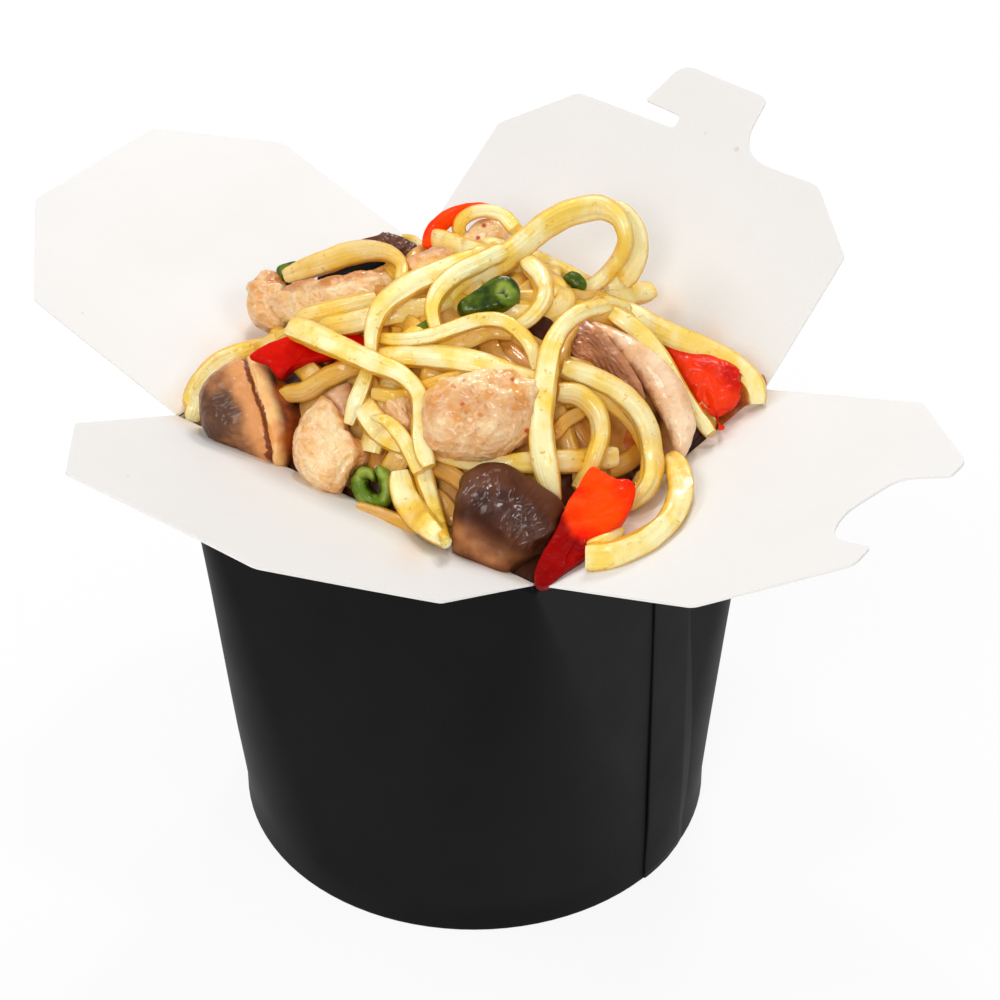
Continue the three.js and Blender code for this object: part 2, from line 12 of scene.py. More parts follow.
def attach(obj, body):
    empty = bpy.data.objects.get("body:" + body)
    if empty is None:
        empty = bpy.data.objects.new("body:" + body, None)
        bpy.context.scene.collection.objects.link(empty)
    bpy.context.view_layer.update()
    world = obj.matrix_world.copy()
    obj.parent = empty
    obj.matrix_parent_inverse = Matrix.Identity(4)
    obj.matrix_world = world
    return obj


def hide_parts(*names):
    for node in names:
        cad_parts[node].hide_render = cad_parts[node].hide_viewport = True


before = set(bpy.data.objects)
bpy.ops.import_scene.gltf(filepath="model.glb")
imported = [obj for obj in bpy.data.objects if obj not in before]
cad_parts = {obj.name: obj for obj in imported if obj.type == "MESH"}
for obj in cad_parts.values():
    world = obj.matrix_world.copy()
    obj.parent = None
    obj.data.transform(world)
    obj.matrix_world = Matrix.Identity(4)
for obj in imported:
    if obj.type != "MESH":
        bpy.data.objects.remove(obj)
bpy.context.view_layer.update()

# The eye. It stands above the box's front corner and looks down on the heap. What it sees is
# ruled into a drawing grid of 1000 by 1000 squares, with columns and rows counted from the top
# left corner, and the food is laid out on that grid.

MM = 0.001
EYE = Vector((0.3345, -0.4334, 0.5027))
AIM = Vector((-0.0005, 0.0109, 0.07625))
GRID_MIDDLE = 500
GRID_REACH = 3000
SENSOR = 36
NEAREST = 0.05
TOWARD_EYE = (EYE - AIM).normalized()
GRID_RIGHT = Vector((0, 0, 1)).cross(TOWARD_EYE).normalized()
GRID_UP = TOWARD_EYE.cross(GRID_RIGHT)

camera_data = bpy.data.cameras.new("eye")
camera_data.sensor_width = SENSOR
camera_data.lens = SENSOR * GRID_REACH / (2 * GRID_MIDDLE)
camera_data.clip_start = NEAREST
camera = bpy.data.objects.new("eye", camera_data)
camera.location = EYE
camera.rotation_mode = "QUATERNION"
camera.rotation_quaternion = (-TOWARD_EYE).to_track_quat("-Z", "Y")
bpy.context.scene.collection.objects.link(camera)
bpy.context.scene.camera = camera


def sight(column, row):
    """The way from the eye through a place on the grid"""
    ray = GRID_RIGHT * (column - GRID_MIDDLE) + GRID_UP * (GRID_MIDDLE - row)
    return (ray - TOWARD_EYE * GRID_REACH).normalized()


def grid_of(p):
    """The column and row at which the eye sees a place"""
    out = p - EYE
    depth = -out.dot(TOWARD_EYE)
    return Vector((
        GRID_MIDDLE + GRID_REACH * out.dot(GRID_RIGHT) / depth,
        GRID_MIDDLE - GRID_REACH * out.dot(GRID_UP) / depth,
    ))


# The light. A pale floor that glows a little and an even white sky make the box stand in soft
# light with hardly a shadow, and soft lamps give the wet food its glints.

FLOOR_HALF = 3.0
FLOOR_GLOW = 0.88
SKY_STRENGTH = 0.38
LAMPS = [
    # place, width, power in watts
    ((-0.5, -0.45, 0.95), 0.4, 2.5),
    ((0.75, 0.0, 0.85), 0.3, 1.4),
    ((-0.3, 0.7, 0.75), 0.26, 3.4),
    ((0.35, -0.85, 0.8), 0.35, 3.8),
    ((-0.2, 0.25, 0.9), 0.08, 1.3),
]


def srgb(red, green, blue):
    """A paint chip's red, green and blue, 0 to 255, as the colour a shader takes"""
    def linear(value):
        value /= 255
        return value / 12.92 if value <= 0.04045 else ((value + 0.055) / 1.055) ** 2.4

    return (linear(red), linear(green), linear(blue), 1.0)


class Socket:
    """A value in a material's nodes: its sums add Math nodes, and node() adds any other kind"""

    def __init__(self, tree, link=None):
        self.tree = tree
        self.link = link

    def node(self, kind, settings=None, inputs=None, output=0):
        new = self.tree.nodes.new(kind)
        for name, setting in (settings or {}).items():
            setattr(new, name, setting)
        for name, value in (inputs or {}).items():
            if isinstance(value, Socket):
                self.tree.links.new(value.link, new.inputs[name])
            else:
                new.inputs[name].default_value = value
        return Socket(self.tree, new.outputs[output])

    def math(self, operation, first, second):
        return self.node("ShaderNodeMath", {"operation": operation}, {0: first, 1: second})

    def __add__(self, other):
        return self.math("ADD", self, other)

    def __radd__(self, other):
        return self.math("ADD", other, self)

    def __sub__(self, other):
        return self.math("SUBTRACT", self, other)

    def __rsub__(self, other):
        return self.math("SUBTRACT", other, self)

    def __mul__(self, other):
        return self.math("MULTIPLY", self, other)

    def __rmul__(self, other):
        return self.math("MULTIPLY", other, self)


def surface(name, paint):
    """A material: paint gets the object's own coordinates and returns the shader's inputs"""
    material = bpy.data.materials.new(name)
    material.use_nodes = True
    tree = material.node_tree
    tree.nodes.clear()
    place = Socket(tree).node("ShaderNodeTexCoord", {}, {}, "Object")
    shader = place.node("ShaderNodeBsdfPrincipled", {}, paint(place))
    output = tree.nodes.new("ShaderNodeOutputMaterial")
    tree.links.new(shader.link, output.inputs["Surface"])
    return material


def mesh_object(name, points, faces, materials, face_material=None):
    """A smooth mesh in the scene; face_material picks one of its materials for each face"""
    mesh = bpy.data.meshes.new(name)
    mesh.from_pydata([tuple(p) for p in points], [], [tuple(f) for f in faces])
    for material in materials:
        mesh.materials.append(material)
    if face_material is not None:
        mesh.polygons.foreach_set("material_index", face_material)
    mesh.polygons.foreach_set("use_smooth", [True] * len(mesh.polygons))
    mesh.validate()
    thing = bpy.data.objects.new(name, mesh)
    bpy.context.scene.collection.objects.link(thing)
    return thing


def floor_paint(place):
    """Matt grey that glows white"""
    return {
        "Base Color": srgb(96, 96, 96),
        "Roughness": 0.9,
        "Specular IOR Level": 0.0,
        "Emission Color": (1, 1, 1, 1),
        "Emission Strength": FLOOR_GLOW,
    }


floor = mesh_object(
    "floor",
    [(x * FLOOR_HALF, y * FLOOR_HALF, 0) for x, y in ((-1, -1), (1, -1), (1, 1), (-1, 1))],
    [(0, 1, 2, 3)],
    [surface("floor_white", floor_paint)],
)

sky = bpy.data.worlds.new("sky")
sky.use_nodes = True
backdrop = sky.node_tree.nodes["Background"]
backdrop.inputs["Color"].default_value = (1, 1, 1, 1)
backdrop.inputs["Strength"].default_value = SKY_STRENGTH
bpy.context.scene.world = sky
for number, (place, width, power) in enumerate(LAMPS):
    lamp_data = bpy.data.lights.new(f"lamp_{number}", "AREA")
    lamp_data.size = width
    lamp_data.energy = power
    lamp = bpy.data.objects.new(f"lamp_{number}", lamp_data)
    lamp.location = place
    lamp.rotation_mode = "QUATERNION"
    lamp.rotation_quaternion = (AIM - Vector(place)).to_track_quat("-Z", "Y")
    bpy.context.scene.collection.objects.link(lamp)
bpy.context.scene.view_settings.view_transform = "Standard"

# The box's wall: one sheet of board, black outside and white inside, glued up the middle of its
# right side. It is round at the foot and a sharp rectangle at the mouth, and its lower edge
# turns in and up round the base's skirt.

BOARD = 0.5 * MM
MOUTH_X = 100 * MM
MOUTH_Y = 88 * MM
HALF_X = MOUTH_X / 2
HALF_Y = MOUTH_Y / 2
CREASE = 110.5 * MM
CREASE_GAP = 0.5 * MM
FOOT_RADIUS = 55.8 * MM
FOOT_BAND = 7 * MM
WALL_RISE = CREASE - CREASE_GAP - FOOT_BAND
FOOT_TURN = [
    # how far in and how high, in mm: down the outside, round the lower edge, up and down the hem
    (0, 7), (0, 4), (0, 2), (0, 1), (0, 0.5), (0.15, 0.15), (0.5, 0), (1.1, 0), (1.45, 0.15),
    (1.6, 0.5), (1.6, 5.7), (1.1, 5.7), (1.1, 1), (0.5, 1), (0.5, 7),
]
FAN_STEPS = 24
SIDE_STEPS = 30
WALL_ROWS = 50
WALL_BOW = 0.25 * MM
BOW_GRAIN = 22
BOW_FOOT = 15 * MM
BOW_MOUTH = 12 * MM
WELD = 0.002 * MM


def between(value, low, high):
    """0 where the value is below low and 1 above high, smooth in between; low may be the larger"""
    ends = {"Value": value, "From Min": low, "From Max": high}
    return value.node("ShaderNodeMapRange", {"interpolation_type": "SMOOTHSTEP"}, ends)


def grain(place, scale, detail=2.0, rough=0.5):
    """Cloudy noise from 0 to 1, finer for a larger scale and crisper for more detail"""
    inputs = {"Vector": place, "Scale": scale, "Detail": detail, "Roughness": rough}
    return place.node("ShaderNodeTexNoise", {}, inputs)


def mixed(amount, first, second):
    """A colour between two: the Mix node takes colours at sockets 6 and 7 and gives one at 2"""
    inputs = {0: amount, 6: first, 7: second}
    return amount.node("ShaderNodeMix", {"data_type": "RGBA"}, inputs, 2)


def stretched(place, x, y, z):
    """The place multiplied along each axis, to draw a grain out"""
    return place.node("ShaderNodeVectorMath", {"operation": "MULTIPLY"}, {0: place, 1: (x, y, z)})


def attribute(place, name):
    """A number that the mesh keeps for each of its vertices"""
    return place.node("ShaderNodeAttribute", {"attribute_name": name}, {}, "Fac")


def raised(height, depth):
    """A normal for low relief of this depth in metres"""
    return height.node("ShaderNodeBump", {}, {"Height": height, "Distance": depth, "Strength": 1.0})


def per_vertex(thing, name, values):
    """Keep a number for each vertex, which a paint reads back with attribute()"""
    kept = thing.data.attributes.new(name, "FLOAT", "POINT")
    kept.data.foreach_set("value", list(values))


def paper_tone(place, low, high):
    """Board isn't one flat colour: broad clouds and a fine fibre grain"""
    clouds = grain(place, 28, 3)
    fibres = grain(stretched(place, 1, 1, 0.35), 1800, 2)
    return mixed(clouds * 0.7 + fibres * 0.3, low, high)


def black_paint(place):
    """Matt black print over board, rubbed grey in places"""
    fibres = grain(stretched(place, 1, 1, 0.4), 2200, 3)
    scuffs = between(grain(place, 95, 5, 0.7), 0.62, 0.8)
    tone = mixed(grain(place, 22, 3), srgb(10, 10, 10), srgb(14, 14, 14))
    return {
        "Base Color": mixed(scuffs * 0.1, tone, srgb(40, 40, 40)),
        "Roughness": 0.46 + 0.14 * grain(place, 60, 4),
        "Specular IOR Level": 0.08,
        "Normal": raised(fibres + 6 * grain(place, 14, 2), 0.00003),
    }


def white_paint(place):
    """Coated white board, with painted bounce light by the folds, and painted shade and food stains
    """
    reach = attribute(place, "reach")
    # Painted bounce light: near the folds the board is tinted yellow-brown, as light thrown back
    # from the food tints it
    fold_bounce = between(reach, 9 * MM, 0) * (0.35 + 0.65 * grain(place, 140, 3))
    specks = between(grain(place, 300, 1, 0.4), 0.8, 0.83)
    tone = paper_tone(place, srgb(227, 225, 222), srgb(233, 231, 229))
    tone = mixed(fold_bounce * 0.45, tone, srgb(232, 202, 158))
    # Painted shade and stains: where food hangs near, the board is painted tan-brown as its shade;
    # one spot is real grease
    stain_and_shade_amount = attribute(place, "stain_and_shade") * (0.4 + 0.9 * grain(place, 90, 3))
    tone = mixed(stain_and_shade_amount, tone, srgb(236, 184, 120))
    return {
        "Base Color": mixed(specks * 0.3, tone, srgb(190, 160, 120)),
        "Roughness": 0.5 + 0.15 * grain(place, 90, 3),
        "Specular IOR Level": 0.3,
        "Normal": raised(grain(place, 1500, 2) + 5 * grain(place, 30, 2), 0.00003),
    }


def cut_edge_paint(place):
    """Bare board"""
    tone = mixed(grain(place, 900, 2), srgb(236, 233, 228), srgb(250, 248, 244))
    return {"Base Color": tone, "Roughness": 0.8}


black_board = surface("black_board", black_paint)
white_board = surface("white_board", white_paint)
cut_edge = surface("cut_edge", cut_edge_paint)


def around():
    """The wall's rulings: an angle on the foot's circle, and the place on the mouth as shares
    of its two halves. A fan of them spreads from each corner, and each side has its own."""
    corners = [(1, 1), (-1, 1), (-1, -1), (1, -1)]
    stops = []
    for number, (sx, sy) in enumerate(corners):
        start = number * math.pi / 2
        for step in range(FAN_STEPS):
            stops.append((start + math.pi / 2 * step / FAN_STEPS, sx, sy))
        nx, ny = corners[(number + 1) % 4]
        for step in range(SIDE_STEPS):
            share = step / SIDE_STEPS
            stops.append((start + math.pi / 2, sx + (nx - sx) * share, sy + (ny - sy) * share))
    return stops


def wall_point(stop, inset, z):
    """The place at a height on one ruling, set in from the outer face"""
    angle, sx, sy = stop
    radius = FOOT_RADIUS - inset
    foot = Vector((radius * math.cos(angle), radius * math.sin(angle), z))
    if z <= FOOT_BAND:
        return foot
    mouth = Vector((sx * (HALF_X - inset), sy * (HALF_Y - inset), z))
    return foot.lerp(mouth, (z - FOOT_BAND) / WALL_RISE)


def build_wall():
    """The wall as rings of one closed section: down the outside, round the foot, up the inside"""
    stops = around()
    rows = range(WALL_ROWS)
    profile = [(0.0, FOOT_BAND + WALL_RISE * (1 - row / WALL_ROWS)) for row in rows]
    profile += [(inset * MM, z * MM) for inset, z in FOOT_TURN]
    inside = len(profile)
    profile += [(BOARD, FOOT_BAND + WALL_RISE * (row + 1) / WALL_ROWS) for row in rows]
    points = []
    for inset, z in profile:
        for stop in stops:
            point = wall_point(stop, inset, z)
            if inset < 2 * BOARD and z > FOOT_BAND:
                normal = Vector((point.x, point.y, 0)).normalized()
                fade = min(1, (z - FOOT_BAND) / BOW_FOOT) * min(1, (CREASE - z) / BOW_MOUTH)
                point += normal * WALL_BOW * fade * noise.noise(point * BOW_GRAIN)
            points.append(point)
    count = len(stops)
    rings = len(profile)
    faces = []
    tone = []
    for ring in range(rings):
        near = ring * count
        far = (ring + 1) % rings * count
        for column in range(count):
            after = (column + 1) % count
            faces.append((near + column, far + column, far + after, near + after))
            tone.append(1 if inside - 2 <= ring < rings - 1 else 0)
    wall = mesh_object("board_wall", points, faces, [black_board, white_board], tone)
    merged = bmesh.new()
    merged.from_mesh(wall.data)
    # The rulings of each flat side meet in one point at the foot
    bmesh.ops.remove_doubles(merged, verts=merged.verts, dist=WELD)
    merged.to_mesh(wall.data)
    merged.free()
    return wall


wall = build_wall()
per_vertex(wall, "reach", [CREASE - v.co.z for v in wall.data.vertices])
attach(wall, "box")
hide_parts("wall")

# The glued overlap is the same board. Its cut edge lies up the middle of the right side, a
# little rounded, and its far side sinks into the wall it is glued to. It stops short of the fold
# so that the flap can hang down over it.

LAP_FOOT = -7 * MM
LAP_MOUTH = 0.5 * MM
LAP_START = 0.6 * MM
LAP_DROP = 4 * MM
LAP_EASE = 0.1 * MM
LAP_ROWS = 60
LAP_SECTION = [
    # how far past the edge and how far out, in mm
    (0.3, -0.2), (0.0, -0.2), (0.0, 0.28), (0.04, 0.4), (0.16, 0.48), (0.4, 0.5), (2, 0.5),
    (5, 0.48), (9, 0.4), (14, 0.2), (18, -0.1), (18, -0.2),
]


def side_point(y, z):
    """How far out the outer face of the wall's right side lies"""
    share = max(0.0, (z - FOOT_BAND) / WALL_RISE)
    flat = FOOT_RADIUS + (HALF_X - FOOT_RADIUS) * share
    # Away from the flat triangle the foot's curve bends the board in
    past = max(0.0, abs(y) - HALF_Y * share)
    bend = FOOT_RADIUS * (1 - share) + LAP_EASE
    return flat - bend * (1 - math.sqrt(max(0.0, 1 - min(1.0, past / bend) ** 2)))


def build_lap():
    """The overlap's section, carried up the wall"""
    points = []
    for row in range(LAP_ROWS + 1):
        z = LAP_START + (CREASE - LAP_DROP - LAP_START) * row / LAP_ROWS
        share = max(0.0, (z - FOOT_BAND) / (CREASE - FOOT_BAND))
        edge = LAP_FOOT + (LAP_MOUTH - LAP_FOOT) * share
        for past, out in LAP_SECTION:
            y = edge + past * MM
            points.append(Vector((side_point(y, z) + out * MM, y, z)))
    ring = len(LAP_SECTION)
    last = LAP_ROWS * ring
    faces = [tuple(reversed(range(ring))), tuple(range(last, last + ring))]
    for low in range(0, last, ring):
        for column in range(ring):
            after = low + (column + 1) % ring
            faces.append((low + column, after, after + ring, low + column + ring))
    return mesh_object("board_lap", points, faces, [black_board])


lap = build_lap()
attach(lap, "box")

# The base is a disc of the same board with its rim turned down inside the wall's foot, where it
# is glued. It keeps its plain shape and takes the black print.

base_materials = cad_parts["base"].data.materials
base_materials.clear()
base_materials.append(black_board)

# The four lid flaps: the wall's board goes on past the folds. Two are plain, the back one ends
# in a hooked tab and the right one in a slot for it. Each is slightly bowed, white on top and
# black below, with the pale board at its cut edge.

FLAP_GRID = 2.5 * MM
CURVE_STEPS = 8
FLAP_BOW = 1.2 * MM
BOW_STARTS = 30 * MM
BOW_SWELL = 12
BOW_SEED = 3.7
SHARP = math.radians(40)
# Half the length of a fold, and a plain flap's length, in mm
SIDE_FOLD = 43.5
LONG_FOLD = 49.5
SIDE_REACH = 66.4
FRONT_REACH = 64.8
FLAPS = {
    # turn and tilt in degrees, the fold's middle, and corners as (along, out, rounding) in mm
    "left": (90, 18.75, (-HALF_X, 0), [
        (-SIDE_FOLD, 0, 0), (SIDE_FOLD, 0, 0), (SIDE_FOLD, 44, 1), (20.5, SIDE_REACH, 1.5),
        (-20.5, SIDE_REACH, 1.5), (-SIDE_FOLD, 44, 1),
    ]),
    "front": (180, 27, (0, -HALF_Y), [
        (-LONG_FOLD, 0, 0), (LONG_FOLD, 0, 0), (LONG_FOLD, 34.5, 1), (25, FRONT_REACH, 1.5),
        (-25, FRONT_REACH, 1.5), (-LONG_FOLD, 34.5, 1),
    ]),
    "back": (0, 32, (0, HALF_Y), [
        (-LONG_FOLD, 0, 0), (LONG_FOLD, 0, 0), (LONG_FOLD, 36.8, 1), (34.3, 50.9, 2),
        (11.5, 50.9, 10), (11.2, 67.2, 2.5), (-13.6, 68.1, 4), (-17.3, 56, 0.6),
        (-6.6, 55.4, 1.6), (-6.6, 51.7, 1.6), (-34.6, 51.8, 2), (-LONG_FOLD, 37, 1),
    ]),
    "right": (-90, 18.75, (HALF_X, 0), [
        (-SIDE_FOLD, 0, 0), (SIDE_FOLD, 0, 0), (SIDE_FOLD, 40.5, 1.5), (22, 65.6, 2),
        (15.3, 65.2, 1), (13.6, 54.2, 5), (3.6, 51.6, 4), (-11.6, 55.6, 4),
        (-14.2, SIDE_REACH, 0.8), (-20.5, SIDE_REACH, 2.5), (-SIDE_FOLD, 42, 1.5),
    ]),
}

# Painted shade and food stains on the boards, as (column, row, reach in squares, strength). The
# spot on the front flap is a grease stain from the sauce; the rest are painted shade where food
# hangs over the left, back and right flaps
STAINS_AND_SHADE = [
    (634, 522, 26, 0.4), (654, 498, 16, 0.25), (606, 546, 14, 0.3), (668, 306, 16, 0.25),
    (712, 334, 14, 0.3), (748, 360, 12, 0.3), (412, 553, 15, 0.3), (214, 352, 14, 0.2),
    (250, 332, 12, 0.2),
]


def stain_and_shade_of(p):
    """How much staining and painted shade the board takes at a place"""
    spot = grid_of(p)
    total = 0.0
    for column, row, reach, strength in STAINS_AND_SHADE:
        total += strength * math.exp(-((spot - Vector((column, row))).length / reach) ** 2)
    return min(1.0, total)


def rounded(corners):
    """A flap's outline, with each corner eased by a curve of its rounding"""
    outline = []
    for number, (x, y, rounding) in enumerate(corners):
        corner = Vector((x, y))
        before = Vector(corners[number - 1][:2]) - corner
        after = Vector(corners[(number + 1) % len(corners)][:2]) - corner
        if not rounding:
            outline.append(corner)
            continue
        first = corner + before.normalized() * rounding
        last = corner + after.normalized() * rounding
        for step in range(CURVE_STEPS + 1):
            t = step / CURVE_STEPS
            outline.append(first * (1 - t) ** 2 + corner * 2 * t * (1 - t) + last * t**2)
    return outline


def along_edges(outline, step):
    """The outline with more points on it, about a step apart"""
    points = []
    for number, start in enumerate(outline):
        end = outline[(number + 1) % len(outline)]
        parts = max(1, round((end - start).length / step))
        points += [start.lerp(end, part / parts) for part in range(parts)]
    return points


def flap_matrix(side):
    """From a board that lies flat behind its fold to the flap's place"""
    turn, tilt, fold, _ = FLAPS[side]
    turned = Matrix.Rotation(math.radians(turn), 4, "Z")
    turned = turned @ Matrix.Rotation(math.radians(tilt), 4, "X")
    return Matrix.Translation((*fold, CREASE)) @ turned


def flap_bow(side, along, out):
    """A board's slight bend: nothing at the fold, and uneven towards the free edge"""
    lift = noise.noise(Vector((along * BOW_SWELL, out * BOW_SWELL, len(side) * BOW_SEED)))
    return FLAP_BOW * lift * min(1, out / BOW_STARTS)


def build_flap(side):
    """One flap: an even mesh inside its outline, above and below, and the cut edge round it"""
    outline = along_edges([p * MM for p in rounded(FLAPS[side][3])], FLAP_GRID)
    rim = len(outline)
    spread = list(outline)
    reach = max(p.y for p in outline)
    wide = max(p.x for p in outline)
    for row in range(1, int(reach / FLAP_GRID)):
        for column in range(int(2 * wide / FLAP_GRID)):
            spread.append(Vector((-wide + (column + 0.5) * FLAP_GRID, row * FLAP_GRID)))
    edges = [(i, (i + 1) % rim) for i in range(rim)]
    flat, _, triangles, _, _, _ = delaunay_2d_cdt(spread, edges, [], 1, 1e-6)
    matrix = flap_matrix(side)
    count = len(flat)
    points = []
    for height in (BOARD, 0):
        points += [matrix @ Vector((p.x, p.y, height + flap_bow(side, p.x, p.y))) for p in flat]
    faces = []
    tone = []
    used = set()
    for a, b, c in triangles:
        faces += [(a, b, c), (count + a, count + c, count + b)]
        tone += [0, 1]
        used |= {(a, b), (b, c), (c, a)}
    for a, b, c in triangles:
        for first, second in ((a, b), (b, c), (c, a)):
            if (second, first) not in used:
                faces.append((second, first, count + first, count + second))
                tone.append(2)
    flap = mesh_object(f"lid_{side}", points, faces, [white_board, black_board, cut_edge], tone)
    per_vertex(flap, "reach", [p.y for p in flat] * 2)
    per_vertex(flap, "stain_and_shade", [stain_and_shade_of(p) for p in points])
    flap.data.set_sharp_from_angle(angle=SHARP)
    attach(flap, f"lid_{side}")
    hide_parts(f"flap_{side}")


for side in FLAPS:
    build_flap(side)

# The folds: at each scored line the white face rolls over from the wall into the flap. Part of
# the roll belongs to the wall and part to the flap, so the fold stays closed at any angle.

ROLL_STEPS = 6
ROLL_PLAY = 2
# How many degrees each flap can still be lifted before it meets the food
LIFTED = {"left": 12, "front": 0, "back": 4, "right": 0}


def build_roll(name, side, start, end, body):
    """Part of a round bead along a fold, between two angles about it"""
    turn, _, fold, corners = FLAPS[side]
    half = corners[1][0] * MM
    matrix = Matrix.Translation((*fold, CREASE)) @ Matrix.Rotation(math.radians(turn), 4, "Z")
    points = []
    for along in (-half, half):
        points.append(matrix @ Vector((along, 0, 0)))
        for step in range(ROLL_STEPS + 1):
            angle = math.radians(start + (end - start) * step / ROLL_STEPS)
            out = Vector((along, BOARD * math.cos(angle), BOARD * math.sin(angle)))
            points.append(matrix @ out)
    ring = ROLL_STEPS + 2
    faces = [tuple(range(ring)), tuple(reversed(range(ring, 2 * ring)))]
    faces += [(i, ring + i, ring + (i + 1) % ring, (i + 1) % ring) for i in range(ring)]
    roll = mesh_object(name, points, faces, [white_board])
    per_vertex(roll, "reach", [0.0] * len(points))
    roll.data.set_sharp_from_angle(angle=SHARP)
    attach(roll, body)


for side, lifted in LIFTED.items():
    tilt = FLAPS[side][1]
    build_roll(f"fold_{side}_wall", side, 90 + ROLL_PLAY + tilt + lifted, 180, "box")
    build_roll(f"fold_{side}_lid", side, 90 + tilt, 180 + tilt, f"lid_{side}")

# The noodles that lie packed under the rest: they fill the wall and make the heap's mound. Only
# their upper side shows, between the noodles on top, as ridges that wind and cross. They are
# brown and wet with sauce; the dark between their ridges, nearly black where the heap is open, is
# painted shade as well as sauce.

BASE_TOP = 6.5 * MM
HEAP_RISE = 27 * MM
HEAP_EDGE = -1 * MM
HEAP_LEAN = 5 * MM
HEAP_POWER = 3
CORE_DEPTH = 3 * MM
CORE_CELLS = 150
CORE_INSET = 1.0 * MM
CORE_SLACK = 2 * MM
CORE_LEVELS = (100 * MM, 60 * MM, BASE_TOP + 0.5 * MM)
PACKED_WIDE = 5.6 * MM
PACKED_RISE = 2.2 * MM
PACKED_MIDDLE = 0.6
PACKED_WAYS = (0.3, 1.4, 2.3, 2.9)
PACKED_BEND = 9 * MM
BEND_SWELL = 28
PATCH_SWELL = 55
PATCH_SHARE = 0.75
PATCH_SWING = 1.6
LAYER_OFFSET = 0.37
FAR_SIDE = 10 * MM

# Spots on the grid where the heap is open down to its core, painted near-black there as shade
# and sauce, and their reach in squares
HOLLOWS = [
    (628, 472), (563, 488), (698, 450), (288, 380), (396, 515), (352, 515), (545, 300), (520, 580),
    (335, 272), (355, 268), (375, 264), (374, 487), (345, 503), (296, 462), (283, 384), (277, 372),
    (700, 444), (308, 367), (297, 374), (366, 244), (392, 240), (412, 250), (440, 240), (455, 246),
    (400, 462),
]
HOLLOW_SIZE = 11
CORE_HOLLOW = 1.5 * HOLLOW_SIZE


def heap_top(x, y):
    """The heap's height: a mound over the mouth that leans to the back left, the flaps beyond"""
    past = {"left": -HALF_X - x, "right": x - HALF_X, "front": -HALF_Y - y, "back": y - HALF_Y}
    rises = [
        reach * math.tan(math.radians(FLAPS[side][1])) for side, reach in past.items() if reach > 0
    ]
    if rises:
        return CREASE + BOARD + max(rises)
    mound = (1 - abs(x / HALF_X) ** HEAP_POWER) * (1 - abs(y / HALF_Y) ** HEAP_POWER)
    return CREASE + HEAP_EDGE + HEAP_LEAN * (y / HALF_Y - x / HALF_X) / 2 + HEAP_RISE * mound


def sauce_and_shade_paint(place):
    """Noodles brown with sauce on their ridges; wet sauce and painted shade make it dark between
    them
    """
    wet = grain(place, 160, 3)
    height = attribute(place, "height")
    # Painted shade: the low ground between the ridges and the open hollows go near-black brown, for
    # the shade deep in the heap as well as the sauce
    dark = mixed(wet, srgb(30, 12, 4), srgb(96, 46, 12))
    patches = between(grain(place, 90, 3), 0.35, 0.65)
    noodle = mixed(patches, srgb(190, 120, 42), srgb(242, 202, 116))
    return {
        "Base Color": mixed(between(height, 0.42, 0.92), dark, noodle),
        "Roughness": 0.25 + 0.25 * grain(place, 220, 2),
        "Coat Weight": 0.3,
        "Normal": raised(wet, 0.0003),
    }


def packed(x, y):
    """How high the noodles rise at a place, 0 to 1: layers of ridges, each with its own way"""
    best = 0.0
    for number, way in enumerate(PACKED_WAYS):
        place = Vector((x, y, number * LAYER_OFFSET))
        winding = PACKED_BEND * noise.noise(place * BEND_SWELL)
        turn = (x * math.cos(way) + y * math.sin(way) + winding) / PACKED_WIDE
        ridge = math.sqrt(max(0.0, 1 - (2 * (turn - math.floor(turn)) - 1) ** 2))
        shows = PATCH_SHARE + PATCH_SWING * noise.noise(place * PATCH_SWELL)
        best = max(best, ridge * min(1.0, max(0.0, shows)))
    return best


def is_open(p):
    """Whether a place on the heap's near side lies in one of its dark hollows"""
    spot = grid_of(p)
    if p.x <= 0 and p.y >= FAR_SIDE:
        return False
    return any((spot - Vector(hollow)).length < CORE_HOLLOW for hollow in HOLLOWS)


def build_core():
    """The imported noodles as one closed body: a square of cells on top, and rings down the wall"""
    points = []
    heights = []
    side = CORE_CELLS + 1
    for row in range(side):
        for column in range(side):
            x = (column / CORE_CELLS * 2 - 1) * (HALF_X - CORE_INSET)
            y = (row / CORE_CELLS * 2 - 1) * (HALF_Y - CORE_INSET)
            height = packed(x, y)
            z = heap_top(x, y) - CORE_DEPTH + PACKED_RISE * (height - PACKED_MIDDLE)
            points.append(Vector((x, y, z)))
            # In the open hollows the height is nothing, so they take the near-black painted shade
            heights.append(0.0 if is_open(points[-1]) else height)
    faces = []
    for row in range(CORE_CELLS):
        for column in range(CORE_CELLS):
            low = row * side + column
            faces.append((low, low + 1, low + side + 1, low + side))
    rim = list(range(side)) + [row * side + CORE_CELLS for row in range(1, side)]
    rim += [CORE_CELLS * side + column for column in range(CORE_CELLS - 1, -1, -1)]
    rim += [row * side for row in range(CORE_CELLS - 1, 0, -1)]
    count = len(rim)
    upper = rim
    for z in CORE_LEVELS:
        lower = []
        for index in rim:
            p = points[index]
            share = (z - FOOT_BAND) / (CREASE - FOOT_BAND)
            angle = math.atan2(p.y / HALF_Y, p.x / HALF_X)
            foot = Vector((math.cos(angle), math.sin(angle), 0)) * (FOOT_RADIUS - CORE_SLACK)
            flat = foot.lerp(Vector((p.x, p.y, 0)), max(0, share))
            lower.append(len(points))
            points.append(Vector((flat.x, flat.y, z)))
        for i in range(count):
            after = (i + 1) % count
            faces.append((upper[after], upper[i], lower[i], lower[after]))
        upper = lower
    faces.append(tuple(reversed(upper)))
    core = mesh_object("packed_noodles", points, faces, [surface("sauced_and_shaded_noodles", sauce_and_shade_paint)])
    per_vertex(core, "height", heights + [0.0] * (len(points) - len(heights)))
    return core


core = build_core()
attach(core, "box")
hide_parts("noodles")

